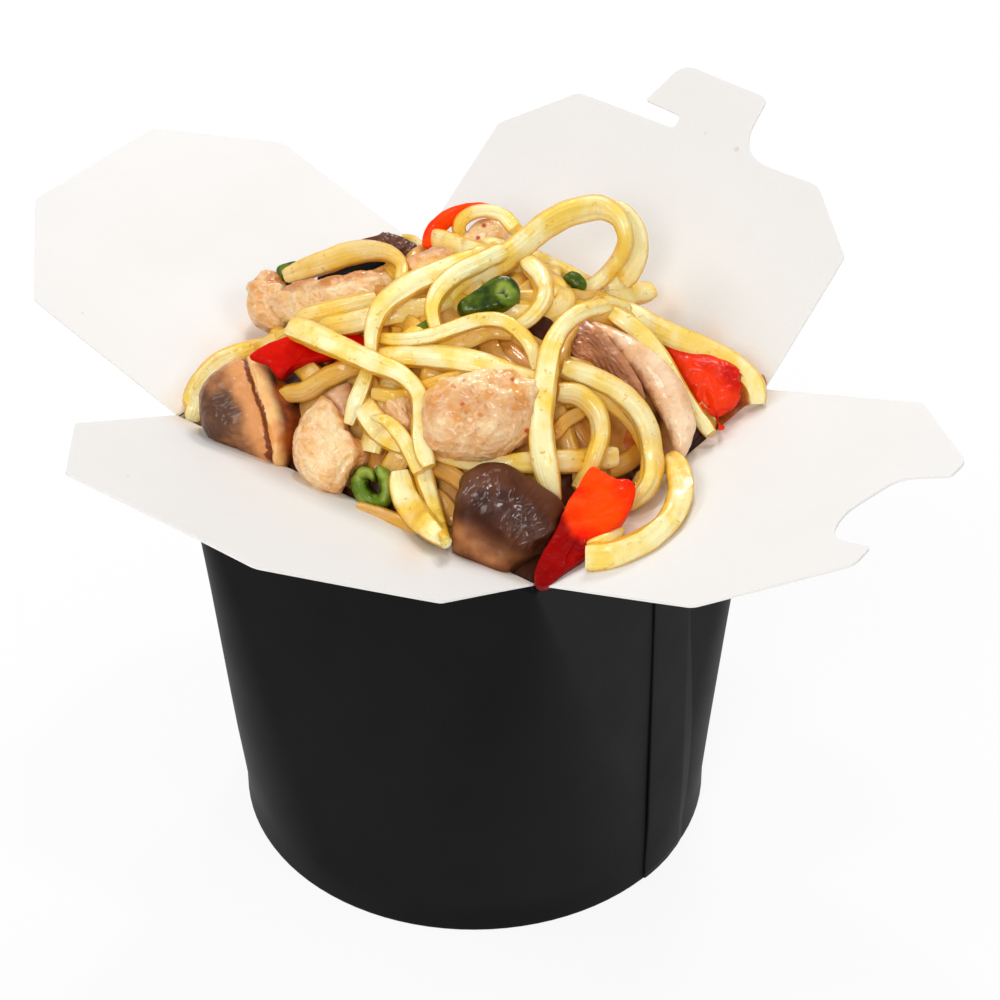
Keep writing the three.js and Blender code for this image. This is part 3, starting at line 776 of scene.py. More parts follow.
# The chicken: strips and lumps of breast, fried pale, browned in places and wet with sauce, with
# painted shade on the side of each piece turned from the light. The toppings all swell to both
# sides of an outline that stands on the drawing grid, or follow a line as a rope does, and a
# relief of folds and fibres is then pressed into their skin.

HIGHEST = 60
HALVINGS = 20
CHUNK_STEP = 0.45 * MM
CHUNK_FACE = 0.6
CHUNK_LAYERS = 16
LAYERS_ACROSS = 2.4
CURVE_PARTS = 12
ROPE_COLUMNS = 44
ROPE_STEPS = 20
NOISE_SEED = 3
PLAIN_MARK = 60
SHADE_WIDE = 9

toppings = []


def at_height(column, row, height):
    """The place in a grid square that is so many millimetres above the folds"""
    ray = sight(column, row)
    return EYE + ray * ((CREASE + height * MM - EYE.z) / ray.z)


def on_heap(column, row, lift):
    """The place in a grid square that is so many millimetres above the heap's surface"""

    def above(height):
        p = at_height(column, row, height)
        return p.z - heap_top(p.x, p.y) - lift * MM

    high = HIGHEST
    while above(high - 1) > 0:
        high -= 1
    low = high - 1
    for _ in range(HALVINGS):
        middle = (high + low) / 2
        if above(middle) > 0:
            high = middle
        else:
            low = middle
    return at_height(column, row, low)


def smooth_line(points, step, closed=False):
    """Points an even step apart on a curve that bends evenly through the given ones"""
    count = len(points)
    dense = []
    for number in range(count if closed else count - 1):
        if closed:
            a, b, c, d = (points[(number + k) % count] for k in (-1, 0, 1, 2))
        else:
            b, c = points[number], points[number + 1]
            a = points[number - 1] if number else b * 2 - c
            d = points[number + 2] if number + 2 < count else c * 2 - b
        knots = [0.0]
        for first, second in ((a, b), (b, c), (c, d)):
            knots.append(knots[-1] + max(1e-6, (second.xyz - first.xyz).length ** 0.5))
        t0, t1, t2, t3 = knots
        for part in range(CURVE_PARTS):
            t = t1 + (t2 - t1) * part / CURVE_PARTS
            ab = a * ((t1 - t) / (t1 - t0)) + b * ((t - t0) / (t1 - t0))
            bc = b * ((t2 - t) / (t2 - t1)) + c * ((t - t1) / (t2 - t1))
            cd = c * ((t3 - t) / (t3 - t2)) + d * ((t - t2) / (t3 - t2))
            abc = ab * ((t2 - t) / (t2 - t0)) + bc * ((t - t0) / (t2 - t0))
            bcd = bc * ((t3 - t) / (t3 - t1)) + cd * ((t - t1) / (t3 - t1))
            dense.append(abc * ((t2 - t) / (t2 - t1)) + bcd * ((t - t1) / (t2 - t1)))
    dense.append(points[0] if closed else points[-1])
    lengths = [0.0]
    for first, second in zip(dense, dense[1:]):
        lengths.append(lengths[-1] + (second.xyz - first.xyz).length)
    parts = max(2, round(lengths[-1] / step))
    even = []
    at = 0
    for part in range(parts if closed else parts + 1):
        goal = lengths[-1] * part / parts
        while at < len(lengths) - 2 and lengths[at + 1] < goal:
            at += 1
        share = (goal - lengths[at]) / max(1e-9, lengths[at + 1] - lengths[at])
        even.append(dense[at].lerp(dense[at + 1], min(1, share)))
    return even


def past_line(p, line):
    """How many squares a place lies past a line on the grid: east of one that goes south"""
    spot = grid_of(p)
    best = None
    for start, end in zip(line, line[1:]):
        start, end = Vector(start), Vector(end)
        way = end - start
        share = min(1, max(0, (spot - start).dot(way) / way.length_squared))
        off = spot - start - way * share
        if best is None or off.length < abs(best):
            turn = way.x * off.y - way.y * off.x
            best = -off.length if turn > 0 else off.length
    return best


def ball(columns, layers, place_of):
    """A closed skin: place_of gets the share of the way round it and the angle from its top"""
    points = [place_of(0, 0)]
    for layer in range(1, layers):
        angle = math.pi * layer / layers
        points += [place_of(column / columns, angle) for column in range(columns)]
    points.append(place_of(0, math.pi))
    last = len(points) - 1
    faces = [(0, 1 + c, 1 + (c + 1) % columns) for c in range(columns)]
    for layer in range(layers - 2):
        low = 1 + layer * columns
        for c in range(columns):
            after = (c + 1) % columns
            faces.append((low + c, low + columns + c, low + columns + after, low + after))
    low = 1 + (layers - 2) * columns
    faces += [(low + c, last, low + (c + 1) % columns) for c in range(columns)]
    return points, faces


def chunk(
    outline, front, back, lift=None, height=None, puff=0.8, step=CHUNK_STEP, facing=CHUNK_FACE
):
    """A lump with this outline on the grid, so many millimetres thick before and behind it. It
    is placed by its lift above the heap or its height above the folds; a low puff makes it
    square at the edge, and facing turns it from level to square to the eye."""
    middle = [sum(p[k] for p in outline) / len(outline) for k in (0, 1)]
    heart = on_heap(*middle, lift) if height is None else at_height(*middle, height)
    normal = (TOWARD_EYE * facing + Vector((0, 0, 1 - facing))).normalized()
    reach = (heart - EYE).dot(normal)
    rim = [EYE + ray * (reach / ray.dot(normal)) for ray in (sight(*p) for p in outline)]
    rim = smooth_line(rim, step, closed=True)
    rim.reverse()
    columns = len(rim)
    widest = max((p - heart).length for p in rim)
    layers = max(CHUNK_LAYERS, round(LAYERS_ACROSS * widest / step))

    def place_of(share, angle):
        out = (rim[round(share * columns) % columns] - heart) * math.sin(angle) ** puff
        depth = front if math.cos(angle) > 0 else back
        swell = abs(math.cos(angle)) ** (0.6 + 0.4 * puff)
        return heart + out + normal * (depth * MM * math.copysign(swell, math.cos(angle)))

    return ball(columns, layers, place_of)


def rope(line, width, thick, ends=0.5, lying=False):
    """A strip along a line of grid places with heights; its width changes on the way"""
    place_on = on_heap if lying else at_height
    curve = smooth_line([place_on(*p) for p in line], CHUNK_STEP)
    steps = len(curve) - 1

    def place_of(share, angle):
        along = (1 - math.cos(angle)) / 2
        at = along * steps
        low = min(steps - 1, int(at))
        middle = curve[low].lerp(curve[low + 1], at - low)
        forward = (curve[min(steps, low + 4)] - curve[max(0, low - 3)]).normalized()
        across = forward.cross(TOWARD_EYE).normalized()
        over = across.cross(forward)
        place = along * (len(width) - 1)
        before = min(len(width) - 2, int(place))
        broad = width[before] + (place - before) * (width[before + 1] - width[before])
        fade = math.sin(angle) ** ends
        turn = 2 * math.pi * share
        out = across * broad * math.cos(turn) - over * thick * math.sin(turn)
        return middle + out * fade * MM / 2

    return ball(ROPE_COLUMNS, max(ROPE_STEPS, steps), place_of)


def joined(skins):
    """Several skins as the points and faces of one mesh"""
    points = []
    faces = []
    for more, skin in skins:
        faces += [tuple(index + len(points) for index in face) for face in skin]
        points += more
    return points, faces


def vertex_normals(points, faces):
    """The skin's outward direction at each of its points"""
    place = np.array([tuple(p) for p in points])
    normals = np.zeros_like(place)
    # Two edges of a triangle, and the diagonals of a four-sided face
    for size, spans in ((3, ((0, 1), (0, 2))), (4, ((0, 2), (1, 3)))):
        few = np.array([f for f in faces if len(f) == size])
        if len(few):
            first, second = (place[few[:, end]] - place[few[:, start]] for start, end in spans)
            for corner in range(size):
                np.add.at(normals, few[:, corner], np.cross(first, second))
    return normals / np.maximum(1e-12, np.linalg.norm(normals, axis=1))[:, None]


def near(spots):
    """A mark that counts the squares from the nearest of some spots"""
    return lambda p: min((grid_of(p) - Vector(spot)).length for spot in spots)


def beyond(line, turned=1, most=1):
    """A shade that grows past a line: painted shade on a chicken's far side and on the onion by the
    wall, a pepper's loose skin
    """
    return lambda p: min(1.0, max(0.0, turned * past_line(p, line) / SHADE_WIDE + 0.5)) * most


def build_topping(name, look, *skins, mark=None, shade=None):
    """A topping from its lumps and strips; mark and shade tell its relief and its paint what
    lies where on it"""
    material, relief = look
    points, faces = joined(skins)
    marks = [mark(p) if mark else PLAIN_MARK for p in points]
    shades = [shade(p) if shade else 0.0 for p in points]
    skin = zip(points, vertex_normals(points, faces), marks, shades)
    points = [p + Vector(n) * relief(p, m, s) for p, n, m, s in skin]
    piece = mesh_object(f"{name}_piece", points, faces, [material])
    per_vertex(piece, "mark", marks)
    per_vertex(piece, "shade", shades)
    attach(piece, "box")
    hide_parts(name)
    toppings.append(piece)


def lumps(p, size, octaves=3):
    """Rounded unevenness of this size"""
    return noise.fractal(p * (1 / size), 1.0, 2.0, octaves)


# Vector noise starts at random places, unless it is given a seed
noise.seed_set(NOISE_SEED)


def wrinkles(p, size):
    """Folds that swirl: ridges of a noise whose place another noise has moved"""
    bent = p * (1 / size) + noise.noise_vector(p * (0.35 / size)) * 1.4
    return 1 - 2.2 * abs(noise.noise(bent))


def chicken_relief(p, mark, shade):
    """Torn meat: fibres, folds, and a ridge where the shaded side begins"""
    fibres = noise.fractal(Vector((p.x * 250, p.y * 520, p.z * 300)), 1.0, 2.0, 3)
    ridge = 2.6 * MM * shade * (1 - shade)
    folds = 0.36 * wrinkles(p, 4 * MM) + 0.27 * wrinkles(p, 1.7 * MM)
    return ridge + 0.8 * MM * lumps(p, 12 * MM, 2) + MM * folds + 0.12 * MM * fibres


def chicken_paint(place):
    """Pale meat with lighter fibres and creases, browned in places, painted shade on its far side,
    and orange specks
    """
    mark = attribute(place, "mark")
    broad = grain(place, 120, 3)
    fibres = grain(stretched(place, 0.5, 1.6, 1), 420, 3, 0.6)
    seared = between(grain(place, 110, 3, 0.6), 0.52, 0.68)
    spots = between(grain(place, 330, 1), 0.76, 0.79)
    shaded = attribute(place, "shade") * between(grain(place, 200, 3), 0.2, 0.6)
    tone = mixed(between(broad, 0.36, 0.66), srgb(255, 218, 158), srgb(236, 162, 74))
    tone = mixed(between(fibres, 0.45, 0.75) * 0.4, tone, srgb(255, 236, 200))
    swirls = grain(stretched(place, 1, 1, 1.4), 230, 2)
    creases = between(swirls, 0.36, 0.47) * between(swirls, 0.58, 0.49)
    tone = mixed(creases * 0.35, tone, srgb(255, 232, 196))
    tone = mixed(seared * 0.25, tone, srgb(216, 122, 40))
    # Painted shade: past the piece's line, on the side turned from the light, the meat is painted
    # orange-brown
    tone = mixed(shaded * 0.9, tone, srgb(206, 122, 46))
    tone = mixed(spots * 0.6, tone, srgb(206, 96, 30))
    return {
        "Base Color": mixed(between(mark, 3.5, 1), tone, srgb(196, 66, 10)),
        "Roughness": 0.25 + 0.25 * grain(place, 300, 2),
        "Specular IOR Level": 0.4,
        "Coat Weight": 0.6,
        "Coat Roughness": 0.05,
        "Subsurface Weight": 0.15,
        "Subsurface Radius": (1.0, 0.4, 0.2),
        "Subsurface Scale": 0.002,
        "Normal": raised(fibres + 0.4 * broad + 0.2 * creases + 0.4 * grain(place, 900, 2), 0.0007),
    }


COOKED = (surface("cooked_chicken", chicken_paint), chicken_relief)

build_topping(
    "chicken_front", COOKED,
    chunk([
        (322, 403), (331, 408), (342, 422), (350, 438), (368, 449), (368, 462), (354, 474),
        (340, 487), (328, 491), (312, 484), (299, 464), (297, 450), (303, 424),
    ], lift=2, front=6.5, back=6, puff=0.62),
    shade=beyond([(321, 396), (342, 422), (347, 434), (357, 453), (341, 478), (331, 498)]),
)
build_topping(
    "chicken_middle", COOKED,
    chunk([
        (428, 402), (438, 389), (458, 382), (485, 375), (510, 373), (526, 381), (544, 387),
        (537, 412), (527, 436), (512, 448), (488, 457), (460, 455), (436, 446), (428, 424),
    ], lift=2.5, front=6, back=6, puff=0.6),
    mark=near([(463, 406), (512, 380), (525, 430)]),
    shade=beyond([
        (550, 386), (515, 396), (495, 392), (480, 385), (460, 388), (436, 394), (415, 402),
    ], most=0.4),
)
build_topping(
    "chicken_left", COOKED,
    chunk([
        (267, 275), (276, 280), (283, 292), (290, 306), (290, 322), (280, 332), (266, 328),
        (254, 318), (250, 305), (255, 288),
    ], height=9.5, front=4.5, back=5, puff=0.65),
    rope([
        (262, 313, 8), (280, 307, 11), (304, 303, 14.5), (332, 300, 18), (362, 291, 21),
        (400, 276, 23),
    ], width=[6, 10, 11, 11, 10.5, 7], thick=7),
    shade=beyond([(240, 292), (262, 286), (300, 290), (335, 281), (370, 273), (410, 268)]),
)
build_topping(
    "chicken_back", COOKED,
    chunk([
        (462, 240), (470, 228), (484, 220), (498, 221), (508, 232), (506, 246), (494, 255),
        (476, 254),
    ], height=23, front=3, back=4),
    mark=near([(484, 226), (478, 238), (492, 244)]),
)
build_topping(
    "chicken_rear", COOKED,
    chunk([
        (408, 262), (425, 253), (443, 250), (450, 260), (435, 270), (415, 276), (406, 272),
    ], lift=2.5, front=2.5, back=4),
    shade=beyond([(400, 262), (420, 257), (450, 253)]),
)
build_topping(
    "chicken_small", COOKED,
    chunk([
        (385, 402), (400, 399), (412, 400), (414, 418), (411, 432), (400, 424), (388, 412),
    ], lift=1.5, front=2.5, back=3),
)

# The mushrooms: a dark stewed quarter with a glossy, wrinkled cap, a browned slice with its cut
# edge, a slice that shows its gills, and one more cap behind. Broken pieces of them lie by the
# front corner and under the noodles, and near-black slabs in the gaps by the right wall and under
# the back left noodle are painted shade.


def past(line):
    """A mark that counts the squares past a line: a slice's cut edge, a fold, the gills' end"""
    return lambda p: past_line(p, line)


def along(line, reach):
    """A shade in a band along a line: glossy folds, a crease, a bean's open end"""
    return lambda p: max(0.0, 1 - (past_line(p, line) / reach) ** 2)


def mushroom_relief(p, mark, shade):
    """A smooth cap with one glossy band of fine folds that run across it"""
    spot = grid_of(p)
    across = Vector((0.8 * spot.x + 0.6 * spot.y, (0.8 * spot.y - 0.6 * spot.x) * 0.42, 0))
    folds = 0.5 * wrinkles(across, 10) + 0.12 * wrinkles(p, 1.6 * MM)
    return 0.35 * MM * lumps(p, 11 * MM) + (0.1 + 1.4 * shade) * MM * folds


def cut_mushroom_relief(p, mark, shade):
    """A groove along the cut edge, with the wrinkled flank of the cap before it"""
    mark += 5 * noise.noise(p * 260)
    groove = -0.8 * MM * math.exp(-((mark / 2.4) ** 2))
    flank = 0.3 * MM * wrinkles(p, 2.5 * MM) if mark < 0 else 0.06 * MM * lumps(p, 2 * MM)
    return groove + flank + 0.35 * MM * lumps(p, 9 * MM)


def gill_relief(p, mark, shade):
    """Gills run side by side as thin ridges; the flesh beyond the line is smooth"""
    if mark > 0:
        return 0.3 * MM * lumps(p, 5 * MM) + 0.12 * MM * wrinkles(p, 2.4 * MM)
    bent = mark + 8 * noise.noise(p * 170) + 3 * noise.noise(p * 500)
    ridges = 0.2 * MM * math.sin(bent * 1.1)
    return 0.4 * MM * lumps(p, 6 * MM) + ridges + 0.2 * MM * wrinkles(p, 2 * MM)


def mushroom_paint(place):
    """Dark brown cap, tan below it, glossy on its folds with a painted highlight there; a far mark
    is painted near-black shade
    """
    mark = attribute(place, "mark")
    glaze_and_painted_sheen = attribute(place, "shade")
    broad = grain(place, 100, 4)
    creases = grain(place, 420, 4, 0.6)
    pores = between(grain(place, 260, 1), 0.74, 0.78)
    tone = mixed(between(broad, 0.35, 0.65), srgb(60, 26, 11), srgb(98, 52, 28))
    tan = mixed(between(broad, 0.35, 0.65), srgb(112, 62, 32), srgb(200, 134, 84))
    tone = mixed(between(mark + 24 * (broad - 0.5), 8, -14), tone, tan)
    # Painted shade: a piece with a far mark is painted near-black, standing in for the shade in a
    # gap
    tone = mixed(between(mark, 90, 100), tone, srgb(8, 4, 3))
    # Painted highlight: in the glossy band the creases are painted pale grey-brown, like the room's
    # bright reflection on them
    tone = mixed(glaze_and_painted_sheen * between(creases, 0.45, 0.6) * 0.2, tone, srgb(140, 100, 84))
    return {
        "Base Color": mixed(pores * 0.8, tone, srgb(24, 10, 6)),
        "Roughness": 0.4 + 0.2 * creases,
        "Specular IOR Level": 0.12,
        "Coat Weight": 0.05 + 0.95 * glaze_and_painted_sheen,
        "Coat Roughness": 0.16,
        "Normal": raised(creases + 0.4 * broad, 0.0002),
    }


def cut_mushroom_paint(place):
    """Tan flank browned to grey, a dark line at the cut, a cream rim and dark skin behind it"""
    mark = attribute(place, "mark")
    broad = grain(place, 130, 4)
    fine = grain(place, 700, 3, 0.6)
    grey = between(mark + 30 * (broad - 0.5), -10, -26)
    browned = mixed(between(broad, 0.4, 0.65), srgb(92, 58, 40), srgb(168, 110, 66))
    flank = mixed(grey, srgb(222, 152, 92), browned)
    rim = mixed(between(broad, 0.4, 0.7), srgb(252, 202, 134), srgb(236, 156, 82))
    skin = mixed(between(broad, 0.35, 0.6), srgb(50, 18, 4), srgb(160, 72, 18))
    tone = mixed(between(mark + 14 * broad, 14, 28), mixed(between(mark, -1, 3), flank, rim), skin)
    ragged = mark + 12 * (grain(place, 330, 4, 0.7) - 0.5)
    line = between(ragged, -4, -2) * between(ragged, 3, 1)
    return {
        "Base Color": mixed(line, tone, srgb(124, 58, 20)),
        "Roughness": 0.3 + 0.25 * fine,
        "Specular IOR Level": 0.2,
        "Coat Weight": 0.25,
        "Coat Roughness": 0.1,
        "Normal": raised(0.6 * fine + 2 * broad, 0.0004),
    }


def gill_paint(place):
    """Brown gills up to the line, and cream flesh past it, browner along its edge by the gills,
    partly as painted shade
    """
    mark = attribute(place, "mark")
    broad = grain(place, 150, 3)
    fine = grain(place, 600, 3, 0.6)
    wave = mark * 1.3 + 14 * broad + 5 * fine
    ridges = wave.node("ShaderNodeMath", {"operation": "SINE"}, {0: wave})
    gills = mixed(0.5 + 0.25 * ridges, srgb(160, 88, 44), srgb(206, 140, 88))
    gills = mixed(between(broad, 0.45, 0.65) * 0.5, gills, srgb(118, 64, 36))
    flesh = mixed(between(broad, 0.35, 0.65), srgb(255, 224, 188), srgb(240, 188, 138))
    flesh = mixed(between(fine, 0.6, 0.75) * 0.4, flesh, srgb(206, 140, 90))
    # Painted shade, with some brownish streaks: the flesh darkens to tan-brown along its edge by
    # the gills
    flesh = mixed(between(mark + 16 * (fine + broad - 1), 15, 5) * 0.85, flesh, srgb(178, 104, 58))
    return {
        "Base Color": mixed(between(mark, -1, 1), gills, flesh),
        "Roughness": 0.25 + 0.2 * fine,
        "Specular IOR Level": 0.35,
        "Coat Weight": 0.5,
        "Coat Roughness": 0.06,
        "Normal": raised(fine + 2 * broad, 0.0004),
    }


CAP = (surface("stewed_mushroom", mushroom_paint), mushroom_relief)
CUT = (surface("cut_mushroom", cut_mushroom_paint), cut_mushroom_relief)
GILLS = (surface("mushroom_gills", gill_paint), gill_relief)

build_topping(
    "mushroom_front", CAP,
    chunk([
        (457, 496), (461, 482), (470, 473), (484, 466), (498, 465), (511, 469), (526, 478),
        (546, 490), (560, 500), (564, 509), (560, 520), (554, 532), (548, 546), (533, 557),
        (518, 564), (504, 576), (480, 566), (454, 552), (453, 525),
    ], lift=3, front=5.5, back=7, puff=0.5, step=0.32 * MM),
    mark=past([(440, 512), (475, 528), (510, 552), (550, 562)]),
    shade=along([(474, 490), (498, 500), (522, 520), (546, 540)], 22),
)
build_topping(
    "mushroom_left", CUT,
    chunk([
        (200, 405), (204, 388), (222, 370), (246, 360), (262, 362), (278, 378), (296, 392),
        (304, 410), (303, 434), (292, 458), (280, 470), (262, 460), (235, 448), (210, 436),
        (202, 424),
    ], lift=1.5, front=7, back=7, puff=0.62),
    mark=past([(243, 352), (254, 386), (263, 411), (267, 432), (273, 470)]),
)
build_topping(
    "mushroom_right", GILLS,
    chunk([
        (562, 355), (567, 335), (582, 321), (605, 335), (625, 358), (638, 380), (645, 400),
        (620, 388), (590, 368),
    ], height=17.5, front=3, back=5, puff=0.6),
    rope([
        (583, 322, 21), (606, 334, 19.5), (632, 352, 18), (654, 374, 15), (671, 400, 11),
        (681, 428, 7), (680, 458, 2.5),
    ], width=[3.5, 5, 6.4, 7.6, 8.2, 7.8, 4.6], thick=7),
    mark=past([(575, 318), (598, 338), (620, 362), (640, 392), (652, 420), (668, 470)]),
)
build_topping(
    "mushroom_back", CAP,
    chunk([
        (360, 242), (373, 238), (387, 236), (402, 238), (412, 243), (419, 250), (417, 256),
        (409, 259), (395, 254), (376, 250),
    ], height=21, front=1.6, back=3.5, puff=0.5),
    shade=along([(385, 240), (412, 252)], 9),
)

# Two slabs carry this mark: near-black sheets put in the gaps by the right wall and under the back
# left noodle, as painted shade
SHADOW_MARK = 120
BIT_LUMPS = 4 * MM
BIT_RELIEF = 0.3
WALL_ROOM = 2.8 * MM
OVER_FOLDS = 2 * MM
BITS_AND_SHADOW_SLABS = [
    (PLAIN_MARK, chunk([
        (500, 576), (516, 562), (534, 554), (548, 550), (544, 566), (535, 588), (524, 584),
    ], lift=-1, front=1.5, back=3)),
    (SHADOW_MARK, chunk([
        (318, 284), (322, 270), (345, 257), (385, 249), (398, 260), (390, 272), (350, 280),
    ], height=14, front=1, back=2, puff=0.3)),
    (SHADOW_MARK, chunk([
        (692, 446), (700, 438), (708, 436), (713, 442), (704, 452), (695, 456),
    ], lift=-1.5, front=1, back=2)),
    (PLAIN_MARK, chunk([
        (528, 322), (540, 316), (553, 322), (552, 336), (540, 344), (530, 336),
    ], lift=0, front=1.5, back=2)),
]


def contained(p):
    """A place moved in from the wall, if it lies too low to hang over a fold"""
    if p.z > CREASE + OVER_FOLDS:
        return p
    x = min(HALF_X - WALL_ROOM, max(WALL_ROOM - HALF_X, p.x))
    y = min(HALF_Y - WALL_ROOM, max(WALL_ROOM - HALF_Y, p.y))
    return Vector((x, y, p.z))


def build_bits_and_shadow_slabs():
    """The broken pieces and the shadow slabs as one mesh, with the mark of each carried by its
    points
    """
    points, faces = joined(skin for _, skin in BITS_AND_SHADOW_SLABS)
    marks = [mark for mark, (more, _) in BITS_AND_SHADOW_SLABS for _ in more]
    points = [
        contained(p + Vector(n) * BIT_RELIEF * MM * lumps(p, BIT_LUMPS))
        for p, n in zip(points, vertex_normals(points, faces))
    ]
    bits_and_shadow_slabs = mesh_object("mushroom_bits_and_shadow_slabs", points, faces, [CAP[0]])
    per_vertex(bits_and_shadow_slabs, "mark", marks)
    per_vertex(bits_and_shadow_slabs, "shade", [0.0] * len(points))
    return bits_and_shadow_slabs


bits_and_shadow_slabs = build_bits_and_shadow_slabs()
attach(bits_and_shadow_slabs, "box")
toppings.append(bits_and_shadow_slabs)

# The red pepper: strips cut from the wall of the fruit, bright on their fleshy side. Where they
# turn under, away from the light, their red is painted darker as shade. The right one's skin has
# come loose in wet folds.


def pepper_relief(p, mark, shade):
    """Smooth where it was cut flat; folded like wet cloth where the skin has come loose"""
    crease = (0.5 * shade - 0.2 * math.exp(-((mark / 3) ** 2))) * MM
    return 0.15 * MM * lumps(p, 6 * MM) + (0.08 + 0.5 * shade) * MM * wrinkles(p, 2.8 * MM) + crease


def pepper_paint(low, high):
    """Red pepper between two reds, and a deep red before its mark's line: painted shade where the
    strip turns away from the light
    """

    def paint(place):
        mark = attribute(place, "mark")
        broad = grain(place, 120, 3)
        spots = grain(place, 900, 2)
        # Painted shade: the part before the line, turned under and away from the light, is painted
        # deep red
        under = mixed(broad, srgb(96, 0, 0), srgb(176, 2, 0))
        upper = mixed(between(broad, 0.3, 0.65), low, high)
        return {
            "Base Color": mixed(between(mark + 8 * (broad - 0.5), -7, 4), under, upper),
            "Roughness": 0.3 + 0.14 * spots,
            "Specular IOR Level": 0.05,
            "Coat Weight": 0.05 + 0.25 * attribute(place, "shade"),
            "Coat Roughness": 0.06,
            "Normal": raised(spots + 3 * grain(place, 260, 2), 0.00014),
        }

    return paint


def pepper_look(name, low, high):
    """A pepper's material and relief"""
    return surface(name, pepper_paint(low, high)), pepper_relief


BRIGHT = pepper_look("red_pepper", srgb(250, 22, 0), srgb(255, 72, 0))
DEEP = pepper_look("deep_red_pepper", srgb(188, 2, 0), srgb(214, 20, 2))
LOOSE = pepper_look("loose_red_pepper", srgb(206, 8, 0), srgb(250, 58, 10))

build_topping(
    "pepper_front", BRIGHT,
    chunk([
        (592, 467), (603, 472), (616, 479), (629, 480), (635, 488), (633, 503), (624, 519),
        (606, 533), (585, 541), (585, 555), (566, 570), (547, 586), (537, 586), (534, 576),
        (543, 553), (556, 530), (564, 510), (578, 487),
    ], lift=6.5, front=0.5, back=3.5, puff=0.16, facing=0.45),
    mark=past([(560, 480), (564, 508), (574, 537), (600, 547)]),
    shade=along([(586, 541), (572, 545), (565, 553), (564, 564)], 2.5),
)
build_topping(
    "pepper_right", LOOSE,
    chunk([
        (661, 342), (672, 348), (688, 352), (706, 355), (722, 361), (734, 371), (739, 382),
        (738, 390), (735, 400), (727, 408), (712, 411), (698, 403), (684, 381), (669, 355),
    ], lift=2, front=2, back=3, puff=0.45, step=0.36 * MM),
    rope([
        (699, 404, 4), (706, 409, 4), (715, 414, 3.6), (724, 411, 3.4), (733, 402, 3),
    ], width=[1.2, 2.6, 2.8, 1.8, 0.8], thick=2, lying=True),
    rope([
        (717, 411, 3.6), (717, 419, 3.4), (722, 429, 3),
    ], width=[2.2, 1.6, 0.6], thick=1.4, lying=True),
    mark=past([(650, 330), (664, 362), (690, 404), (705, 420)]),
    shade=beyond([(655, 340), (690, 358), (735, 366), (760, 380)], turned=-1),
)
build_topping(
    "pepper_left", DEEP,
    chunk([
        (250, 357), (262, 348), (284, 338), (310, 331), (352, 332), (367, 342), (362, 352),
        (345, 357), (322, 361), (302, 366), (288, 372), (280, 379), (268, 366),
    ], lift=2, front=1.2, back=2.5, puff=0.4),
    mark=past([(240, 384), (280, 372), (330, 360), (372, 372)]),
)
build_topping(
    "pepper_back", BRIGHT,
    rope([
        (426, 248, 24), (432, 234, 25), (444, 221, 26), (460, 212, 27), (478, 207, 28),
        (498, 208, 28.5),
    ], width=[4.2, 4.4, 4.2, 3.4, 2.6, 1.6], thick=3.4),
)

# The green beans: short lengths, boiled and shiny. The front one is cut across and curls into a
# ring, with pale rims where its wall is cut.


def skin_relief(p, mark, shade):
    """Nearly smooth, and sunk where it is shaded"""
    return 0.3 * MM * lumps(p, 6 * MM) + 0.05 * MM * lumps(p, 1.5 * MM) - 0.9 * MM * shade


def bean_paint(place):
    """Dark green skin, paler near its marked cuts, and a dark hollow where it is shaded"""
    mark = attribute(place, "mark")
    broad = grain(place, 260, 3)
    skin = mixed(between(broad, 0.35, 0.7), srgb(28, 54, 0), srgb(92, 112, 10))
    cut = mixed(between(broad, 0.35, 0.65), srgb(92, 122, 20), srgb(150, 168, 66))
    tone = mixed(between(mark, 12, 7), skin, cut)
    return {
        "Base Color": mixed(attribute(place, "shade"), tone, srgb(30, 44, 0)),
        "Roughness": 0.18 + 0.15 * broad,
        "Specular IOR Level": 0.35,
        "Normal": raised(grain(place, 700, 2), 0.00015),
    }


BEAN = (surface("green_bean", bean_paint), skin_relief)

build_topping(
    "bean_front", BEAN,
    rope([
        (375, 481, 2), (371, 474, 2), (363, 473, 2), (359, 484, 2), (364, 495, 2), (373, 502, 2),
        (384, 500, 2), (387, 488, 2), (385, 476, 2), (378, 468, 2),
    ], width=[1.6, 3.0, 4.0, 4.1, 4.0, 3.4, 3.2, 3.4, 3.8, 2.8], thick=5.5, ends=0.3, lying=True),
    mark=near([(366, 472), (357, 484), (362, 497), (374, 504), (386, 500), (392, 486), (386, 470)]),
)
build_topping(
    "bean_middle", BEAN,
    chunk([
        (457, 307), (465, 299), (478, 291), (489, 283), (500, 279), (512, 280), (519, 288),
        (519, 300), (510, 309), (492, 314), (474, 317), (462, 315),
    ], lift=4, front=2.6, back=4, puff=0.3),
    mark=near([(504, 291), (508, 296)]),
    shade=along([(500, 287), (507, 296)], 2),
)
build_topping(
    "bean_back", BEAN,
    chunk([
        (562, 279), (570, 273), (580, 275), (588, 285), (582, 292), (572, 289),
    ], lift=2, front=2, back=3),
)
build_topping(
    "bean_left", BEAN,
    chunk([
        (277, 268), (288, 263), (298, 262), (300, 275), (292, 284), (279, 283),
    ], height=13, front=2, back=3),
)
build_topping(
    "bean_under", BEAN,
    chunk([
        (412, 330), (424, 322), (433, 320), (434, 332), (425, 337), (414, 336),
    ], lift=1, front=2, back=3),
)

# The onion: three limp strips of its layers, thin and glassy. The two by the right wall are
# brown, partly from frying and partly as painted shade. They have sunk low, between the noodles
# and the wall.


